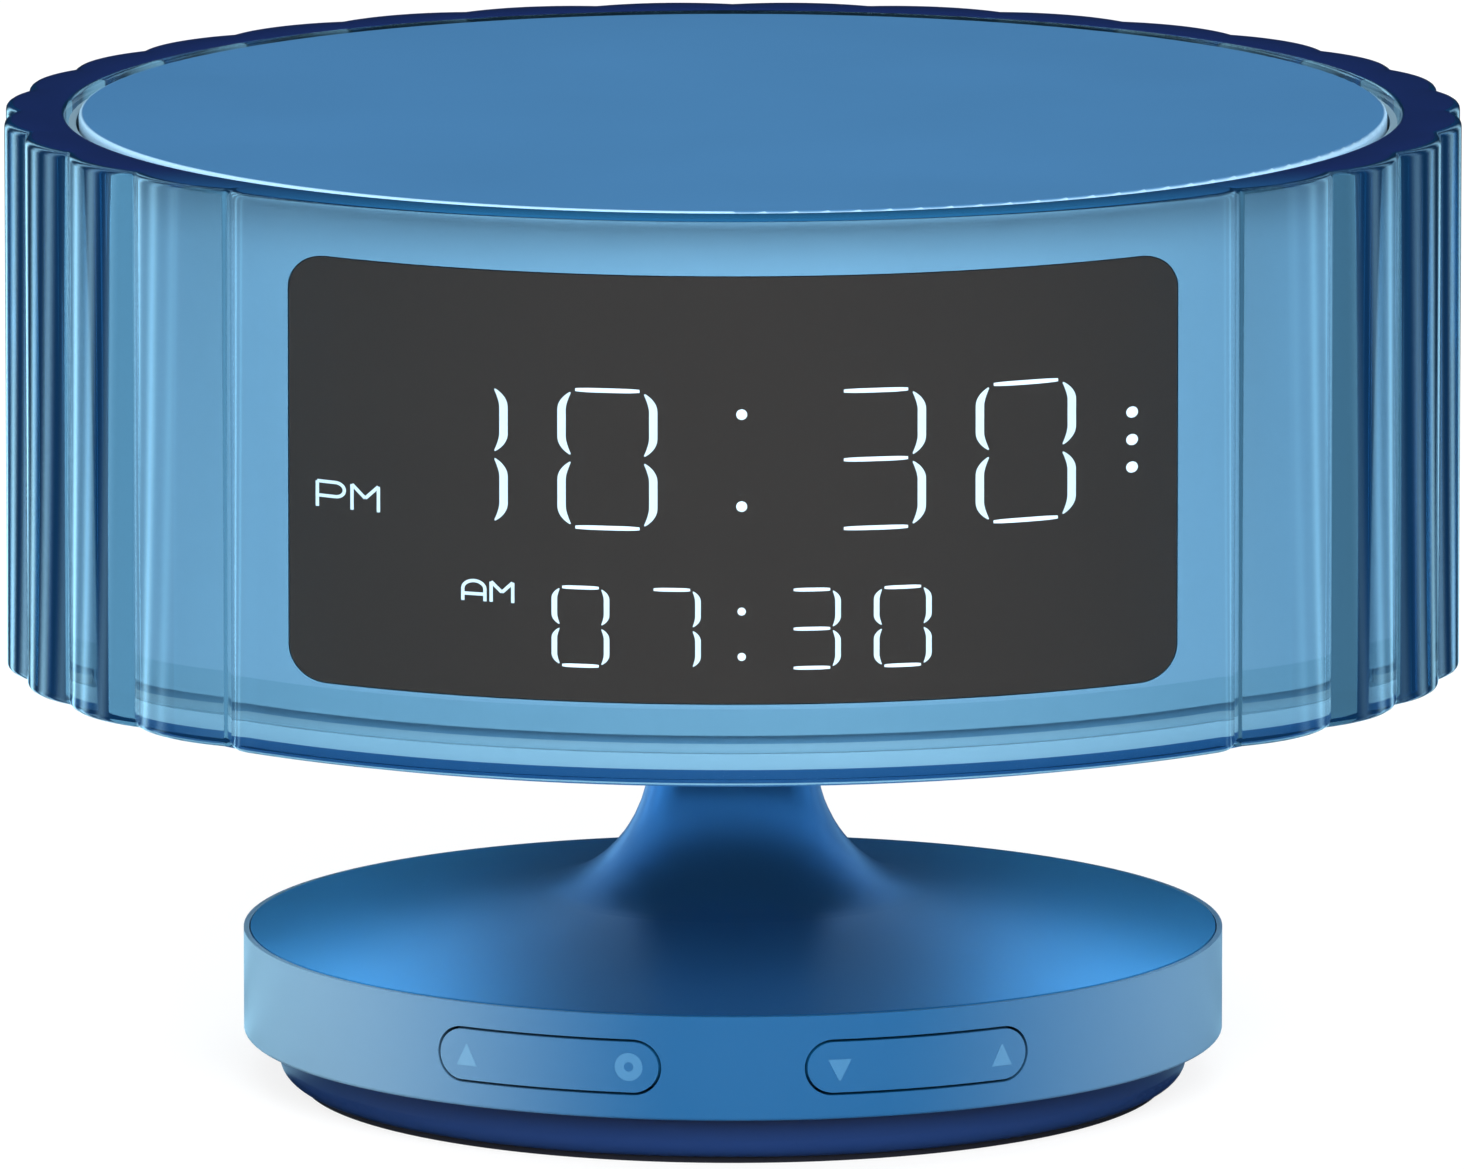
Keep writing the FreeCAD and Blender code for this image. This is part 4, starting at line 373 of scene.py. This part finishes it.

# The floor's rim has three bands, one above the other: the lip under the shell, darkened as painted shade,
# the bright band, and the step that carries the light ring, darkened as painted shade in its recess. Inside
# the rim its underside is painted dark round the neck as painted shade, and paler outwards.
floor_blue = moulded("floor_blue", (0.185, 0.290, 0.360), roughness=0.38)
bands_low, bands_high, band_starts, step_starts = 37.0, 43.0, 0.40, 0.76
rim_radius, dark_radius, pale_radius = 57.5, 20.0, 36.0
lip_painted_shade, band_tint, step_painted_shade = (0.08, 0.26, 0.50, 1), (1.35, 1.25, 1.16, 1), (0.55, 0.74, 0.86, 1)
add = shader(floor_blue.node_tree)
_, _, up, out = place_on(add)
height = ramp(add, up, bands_low * MM, bands_high * MM, way="LINEAR")
bands = add("ValToRGB", Fac=height)
bands.color_ramp.interpolation = "CONSTANT"
stops = bands.color_ramp.elements
stops[0].position, stops[0].color = 0.0, lip_painted_shade
stops[1].position, stops[1].color = band_starts, band_tint
stops.new(step_starts).color = step_painted_shade
outside = work(add, "GREATER_THAN", out, rim_radius * MM)
tint(floor_blue, outside, bands.outputs["Color"], way="MULTIPLY")
# Painted shade: the underside darkens towards the neck, under the head.
under = ramp(add, out, dark_radius * MM, pale_radius * MM, way="LINEAR")
underside_painted_shade = add("Mix", data_type="RGBA", Factor=under, A=(0.004, 0.006, 0.020, 1),
                 B=(0.620, 0.860, 0.950, 1))
inside = work(add, "SUBTRACT", 1.0, outside)
tint(floor_blue, inside, underside_painted_shade.outputs["Result"])
dress(drum_blue, "inner_drum")
dress(floor_blue, "head_floor")
dress(plate_blue, "snooze_plate")
dress(milky, "light_ring", "lamps")
dress(window_grey, "display_window")

# Display: the lit segments, letters and dots. Each is a thin stroke of its own on the curved face of the
# smoked window. The uprights bend in at their ends and taper to a point.
def stroke(path, half_widths, back, front):
    """Corners and faces of one closed stroke on an upright cylinder.

    The path is a row of (x, z) points. At each point the stroke is as wide as twice its half width,
    measured square to the path, and reaches from radius back to radius front; y is minus the square root
    of radius squared less x squared. Four corners at each point make a tube, closed by a face at each end.
    """
    path, half_widths = np.asarray(path, dtype=float), np.asarray(half_widths, dtype=float)
    ahead = np.gradient(path, axis=0)
    ahead /= np.linalg.norm(ahead, axis=1, keepdims=True)
    side = np.stack([ahead[:, 1], -ahead[:, 0]], axis=1) * half_widths[:, None]
    corners = []
    for sign, radius in ((-1, back), (1, back), (1, front), (-1, front)):
        flat = path + sign * side
        corners.append(np.stack([flat[:, 0], -np.sqrt(radius ** 2 - flat[:, 0] ** 2), flat[:, 1]], axis=1))
    corners = np.stack(corners, axis=1).reshape(-1, 3)
    faces = []
    for step in range(len(path) - 1):
        here, ahead = 4 * step, 4 * step + 4
        for corner in range(4):
            following = (corner + 1) % 4
            faces.append((here + corner, ahead + corner, ahead + following, here + following))
    end = 4 * (len(path) - 1)
    faces += [(0, 1, 2, 3), (end + 3, end + 2, end + 1, end)]
    return corners, faces


def strokes(name, parts, back, front):
    """One mesh of many strokes; each part is a path and its half widths."""
    corners, faces, count = [], [], 0
    for path, half_widths in parts:
        some, sides = stroke(path, half_widths, back, front)
        corners.append(some)
        faces += [tuple(corner + count for corner in side) for side in sides]
        count += len(some)
    return surface(name, np.concatenate(corners), faces)


def upright(x, low, high, hand, size):
    """A stroke bent like a bracket: its last part at each end leans in and narrows to a point.

    Bend runs from nought, where the leaning part starts, to one at the end. The lean grows with its 1.8th
    power, and the width shrinks with its 2.2nd.
    """
    lean, leaning_part, body_half, tip_half = 0.74, 1.5, 0.30, 0.05
    along = np.linspace(0, 1, 33)
    from_end = (0.5 - np.abs(along - 0.5)) * (high - low) / size
    bend = np.clip(1 - from_end / leaning_part, 0, 1)
    return (np.stack([x - hand * lean * size * bend ** 1.8, low + (high - low) * along], axis=1),
            (body_half * (1 - bend ** 2.2) + tip_half) * size ** 0.7)


def bar(x, z, half, thick):
    """A level stroke, a little thicker in its middle."""
    thinning = 0.35
    along = np.linspace(-1, 1, 13)
    return (np.stack([x + half * along, np.full(13, z)], axis=1), thick * (1 - thinning * along ** 4))


def dot(x, z, radius):
    """A round dot as a short stroke whose width follows a circle."""
    blunt_end = 0.01
    along = np.sin(np.linspace(-math.pi / 2, math.pi / 2, 13))
    return (np.stack([np.full(13, x), z + radius * along], axis=1),
            radius * np.sqrt(np.maximum(1 - along ** 2, 0)) + blunt_end)


def figure(which, x, z, size):
    """Bars and uprights of a digit about its middle; size 1 is 8.4 mm wide and 12.3 mm high.

    The bars are top, middle and bottom. The uprights are right or left, in small letters the upper one and
    in capitals the lower one.
    """
    parts = {"0": ("tb", "rRlL"), "1": ("", "rR"), "3": ("tmb", "rR"), "7": ("t", "rR")}[which]
    bar_reach, bar_half, bar_thick = 5.98, 2.7, 0.19
    upright_out, near_middle, near_end = 3.86, 0.34, 5.72
    reach = {"t": bar_reach, "m": 0.0, "b": -bar_reach}
    thick = bar_thick * size ** 0.3
    bars = [bar(x, z + reach[level] * size, bar_half * size, thick) for level in parts[0]]
    uprights = []
    for mark in parts[1]:
        hand = 1 if mark in "rR" else -1
        low, high = (near_middle, near_end) if mark in "rl" else (-near_end, -near_middle)
        uprights.append(upright(x + hand * upright_out * size, z + low * size, z + high * size, hand, size))
    return bars, uprights


letter_half = 0.14


def line(*points):
    """Straight strokes of a letter through points."""
    found = []
    for start, stop in zip(points[:-1], points[1:]):
        along = np.linspace(0, 1, 6)[:, None]
        found.append((np.array(start) * (1 - along) + np.array(stop) * along, np.full(6, letter_half)))
    return found


def letters(x, z, first, wide, high):
    """The pair PM or AM, with its left foot at (x, z).

    A P is a stem, two level strokes and a half circle; an A is an arch on two legs with a bar; an M is one
    bent line.
    """
    found = []
    if first == "P":
        bowl_from, bowl_low, bowl_middle = x + wide * 0.62, z + high * 0.44, 0.72
        turn = np.linspace(math.pi / 2, -math.pi / 2, 13)
        bowl = np.stack([bowl_from + wide * 0.3 * np.cos(turn),
                         z + high * (bowl_middle + (1 - bowl_middle) * np.sin(turn))], axis=1)
        found += line((x, z), (x, z + high), (bowl_from, z + high))
        found += line((x, bowl_low), (bowl_from, bowl_low))
        found.append((bowl, np.full(13, letter_half)))
    else:
        half, right_leg, leg_top, bar_level = wide * 0.46, x + wide * 0.92, 0.6, z + high * 0.35
        turn = np.linspace(math.pi, 0, 17)
        arch = np.stack([x + half + half * np.cos(turn), z + high * (leg_top + (1 - leg_top) * np.sin(turn))],
                        axis=1)
        found += line((x, z), (x, z + high * leg_top))
        found += line((right_leg, z), (right_leg, z + high * leg_top))
        found += line((x, bar_level), (right_leg, bar_level))
        found.append((arch, np.full(17, letter_half)))
    foot = x + wide * 1.18
    far_foot = foot + wide * 0.9
    found += line((foot, z), (foot, z + high), (foot + wide * 0.45, z + high * 0.5), (far_foot, z + high),
                  (far_foot, z))
    return found


time_level, time_size, alarm_level, alarm_size = 66.35, 1.0, 51.7, 0.57
bars, uprights = [], []
for which, x, level, size in (("1", -23.17, time_level, time_size), ("0", -10.57, time_level, time_size),
                              ("3", 12.03, time_level, time_size), ("0", 24.63, time_level, time_size),
                              ("0", -12.85, alarm_level, alarm_size), ("7", -5.15, alarm_level, alarm_size),
                              ("3", 6.65, alarm_level, alarm_size), ("0", 14.30, alarm_level, alarm_size)):
    found = figure(which, x, level, size)
    bars, uprights = bars + found[0], uprights + found[1]
dots = [dot(0.73, 70.4, 0.45), dot(0.73, 62.4, 0.45), dot(0.73, 53.25, 0.34), dot(0.73, 49.3, 0.34),
        dot(33.55, 68.9, 0.48), dot(33.55, 66.5, 0.48), dot(33.55, 64.1, 0.48)]
small = letters(-34.95, 60.55, "P", 2.46, 2.21) + letters(-22.75, 53.5, "A", 2.02, 1.75)
window_face, stroke_face = 59.11, 59.17
for name, parts, bright in (("segment_bars", bars + dots, 0.68), ("segment_uprights", uprights, 0.40),
                            ("segment_letters", small, 0.36)):
    shown = strokes(name, parts, window_face, stroke_face)
    lit, face, add, _ = new_material(name + "_white")
    face.inputs["Base Color"].default_value = (0.6, 0.6, 0.6, 1)
    face.inputs["Emission Color"].default_value = (1.0, 0.86, 0.79, 1)
    flicker = add("TexNoise", Vector=add("TexCoord").outputs["Object"], Scale=900.0, Detail=2.0)
    level = add("MapRange", Value=flicker.outputs["Fac"], To_Min=bright * 1.05, To_Max=bright * 1.45)
    lit.node_tree.links.new(level.outputs["Result"], face.inputs["Emission Strength"])
    shown.data.materials.append(lit)
    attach(shown, "clock")


# Clear shell: one thick ring of tinted clear plastic. Twenty-four rounded lobes run round its sides and
# back; the front is smooth. The tint shows where light travels a long way through it.
def fluted_outline(inset, along):
    """Radius of the shell's outside at each angle, drawn in by an inset.

    Round the sides and back each lobe is an arc of radius lobe that touches the outer circle, and each
    valley an arc of radius hollow whose centre lies outside; the radius at an angle is where the ray from
    the axis meets the arc that is nearer the axis there. The front is the outer circle itself, joined to
    the end valleys by a short shoulder arc.
    """
    radius, depth, hollow, pitch, count = 64.98, 1.0, 1.5, math.radians(11.364), 24
    outer = radius - inset
    valley_circle = radius - depth + hollow
    hollow = hollow + inset
    cosine = math.cos(pitch / 2)
    lobe = ((outer ** 2 + valley_circle ** 2 - 2 * outer * valley_circle * cosine - hollow ** 2)
            / (2 * (outer - valley_circle * cosine + hollow)))
    shoulder = 4.0 - inset
    shoulder_circle = outer - shoulder
    lean = math.acos((shoulder_circle ** 2 + valley_circle ** 2 - (shoulder + hollow) ** 2)
                     / (2 * shoulder_circle * valley_circle))
    half = pitch * count / 2
    turned = (along - math.pi / 2 + math.pi) % (2 * math.pi) - math.pi

    def far_side(circle, arc_radius, off):
        """Where a ray, off by an angle from an arc's centre, leaves a circle that holds the axis side."""
        inside = arc_radius ** 2 - (circle * np.sin(off)) ** 2
        return circle * np.cos(off) + np.sqrt(np.maximum(inside, 0))

    def near_side(circle, arc_radius, off):
        """Where a ray first meets a circle that lies outside."""
        inside = arc_radius ** 2 - (circle * np.sin(off)) ** 2
        meets = circle * np.cos(off) - np.sqrt(np.maximum(inside, 0))
        return np.where(inside > 0, meets, 1e3)

    from_valley = (turned + half + pitch / 2) % pitch - pitch / 2
    from_lobe = (turned + half) % pitch - pitch / 2
    fluted = np.minimum(far_side(outer - lobe, lobe, from_lobe),
                        near_side(valley_circle, hollow, from_valley))
    beyond = np.abs(turned) - half
    edge_valley = near_side(valley_circle, hollow, beyond)
    edge = np.where(beyond < lean, far_side(shoulder_circle, shoulder, beyond - lean), outer)
    smooth = np.minimum(edge, edge_valley)
    return np.where(beyond > 0, smooth, fluted)


def ring_grid(name, rings):
    """A closed ring skinned over outlines that follow its section round; each is an array of corners."""
    rings = np.asarray(rings)
    rows, columns = rings.shape[:2]
    row, column = np.meshgrid(np.arange(rows), np.arange(columns), indexing="ij")
    next_row, next_column = (row + 1) % rows, (column + 1) % columns
    faces = np.stack([row * columns + column, row * columns + next_column,
                      next_row * columns + next_column, next_row * columns + column], axis=-1)
    thing = surface(name, rings, faces.reshape(-1, 4).tolist())
    thing.data.polygons.foreach_set("use_smooth", np.ones(len(thing.data.polygons), dtype=bool))
    return thing


def rounded_end(outside, edge, end, inward, turns):
    """Section points of an edge rounded with a quarter circle: (outside or bore, inset, height)."""
    return [(outside, edge * (1 - math.sin(turn)), end + inward * edge * (1 - math.cos(turn)))
            for turn in turns]


shell_low, shell_high, shell_bore, outer_edge, bore_edge = 38.5, 87.9, 59.4, 0.6, 0.45
steps = 24 * 64
around = np.linspace(0, 2 * math.pi, steps, endpoint=False)
quarter = np.linspace(0, math.pi / 2, 5)
section = (rounded_end(True, outer_edge, shell_low, 1, quarter)
           + rounded_end(True, outer_edge, shell_high, -1, quarter[::-1])
           + rounded_end(False, bore_edge, shell_high, -1, quarter)
           + rounded_end(False, bore_edge, shell_low, 1, quarter[::-1]))
rings = []
for outside, inset, level in section:
    radius = fluted_outline(inset, around) if outside else np.full(steps, shell_bore + inset)
    rings.append(np.stack([radius * np.cos(around), radius * np.sin(around), np.full(steps, level)], axis=-1))
shell = ring_grid("fluted_shell", rings)


def lets_light_through(material, colour):
    """Makes a surface clear for shadow and diffuse rays, so that the drum behind it is lit."""
    tree = material.node_tree
    add = shader(tree)
    path = add("LightPath")
    passing = work(add, "MAXIMUM", path.outputs["Is Shadow Ray"], path.outputs["Is Diffuse Ray"])
    through = add("BsdfTransparent", Color=colour)
    face = tree.nodes["Principled BSDF"]
    both = add("MixShader", passing, face.outputs[0], through.outputs[0])
    tree.links.new(both.outputs[0], tree.nodes["Material Output"].inputs["Surface"])


clear_blue, body, add, show = new_material("clear_blue")
body.inputs["Base Color"].default_value = (0.93, 0.97, 1.0, 1)
body.inputs["Roughness"].default_value = 0.02
body.inputs["IOR"].default_value = 1.46
body.inputs["Transmission Weight"].default_value = 1.0
lets_light_through(clear_blue, (0.97, 0.985, 1.0, 1))
depth = add("VolumeAbsorption", Color=(0.08, 0.52, 0.73, 1), Density=65.0)
# Painted light: the plastic's volume glows a faint blue, standing in for light scattered inside the tinted
# plastic.
painted_glow = add("Emission", Color=(0.102, 0.489, 1.0, 1), Strength=2.2)
show(add("AddShader", depth.outputs[0], painted_glow.outputs[0]).outputs[0], "Volume")
shell.data.materials.append(clear_blue)

# The shell's flat top is opaque, painted nearly navy as the shade seen along the plastic's whole depth, and
# painted lighter in front.
rim_back, rim_front = (0.006, 0.015, 0.072), (0.012, 0.092, 0.215)
lightens_from, lightest_at, flat_top = -35.0, -60.0, 0.02
rim_painted_shade = moulded("rim_painted_shade", rim_back, roughness=0.12, grain=0.0, shine=0.1)
tree = rim_painted_shade.node_tree
add = shader(tree)
front = ramp(add, place_on(add)[1], lightens_from * MM, lightest_at * MM, way="LINEAR")
rim = add("Mix", data_type="RGBA", Factor=front, A=(*rim_back, 1), B=(*rim_front, 1))
tree.links.new(rim.outputs["Result"], tree.nodes["Principled BSDF"].inputs["Base Color"])
lets_light_through(rim_painted_shade, (0.90, 0.95, 1.0, 1))
shell.data.materials.append(rim_painted_shade)
levels = np.zeros(len(shell.data.polygons) * 3)
shell.data.polygons.foreach_get("center", levels)
top_faces = levels.reshape(-1, 3)[:, 2] > (shell_high - flat_top) * MM
shell.data.polygons.foreach_set("material_index", top_faces.astype(np.int32))
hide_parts("clear_shell")
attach(shell, "clock")

# Works inside the base and head: circuit boards, connectors, switches, cells, speaker and screws.
green = moulded("board_green", (0.012, 0.095, 0.045), roughness=0.35, grain=0.3)
black = moulded("black_plastic", (0.02, 0.02, 0.02), roughness=0.45)
white = moulded("white_plastic", (0.75, 0.75, 0.72), roughness=0.5)
steel = moulded("zinc_steel", (0.55, 0.56, 0.58), roughness=0.32, metal=1.0, mottle=0.1)
nickel = moulded("nickel", (0.68, 0.66, 0.62), roughness=0.25, metal=1.0, mottle=0.08)
jacket = moulded("cell_jacket", (0.03, 0.035, 0.04), roughness=0.3)
paper = moulded("cone_paper", (0.03, 0.03, 0.03), roughness=0.9, grain=2.0)
ferrite = moulded("ferrite", (0.06, 0.06, 0.065), roughness=0.6)
dress(green, "base_board", "key_board_left", "key_board_right", "lamp_board", "display_board",
      "main_board", "snooze_board")
dress(black, "key_switches", "segment_frame", "display_header", "board_chips", "speaker_basket",
      "snooze_switch", "wire_harness")
dress(white, "harness_sockets", "harness_plugs")
dress(steel, "base_screws", "drum_screws", "board_screws", "key_pins", "power_socket", "neck_washer",
      "neck_nut")
dress(nickel, "contact_plates", "contact_springs")
dress(jacket, "battery_cell_1", "battery_cell_2", "battery_cell_3")
dress(paper, "speaker_cone")
dress(ferrite, "speaker_magnet")

# Plate springs: three springs of zinc-plated wire under the snooze plate, copied from the CAD node in
# zinc-plated steel, their feet on the drum's deck.
springs = bpy.data.objects.new("squeezed_springs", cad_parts["plate_springs"].data.copy())
bpy.context.collection.objects.link(springs)
springs.data.materials.clear()
springs.data.materials.append(steel)
coils = np.empty(len(springs.data.vertices) * 3)
springs.data.vertices.foreach_get("co", coils)
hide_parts("plate_springs")
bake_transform(springs)
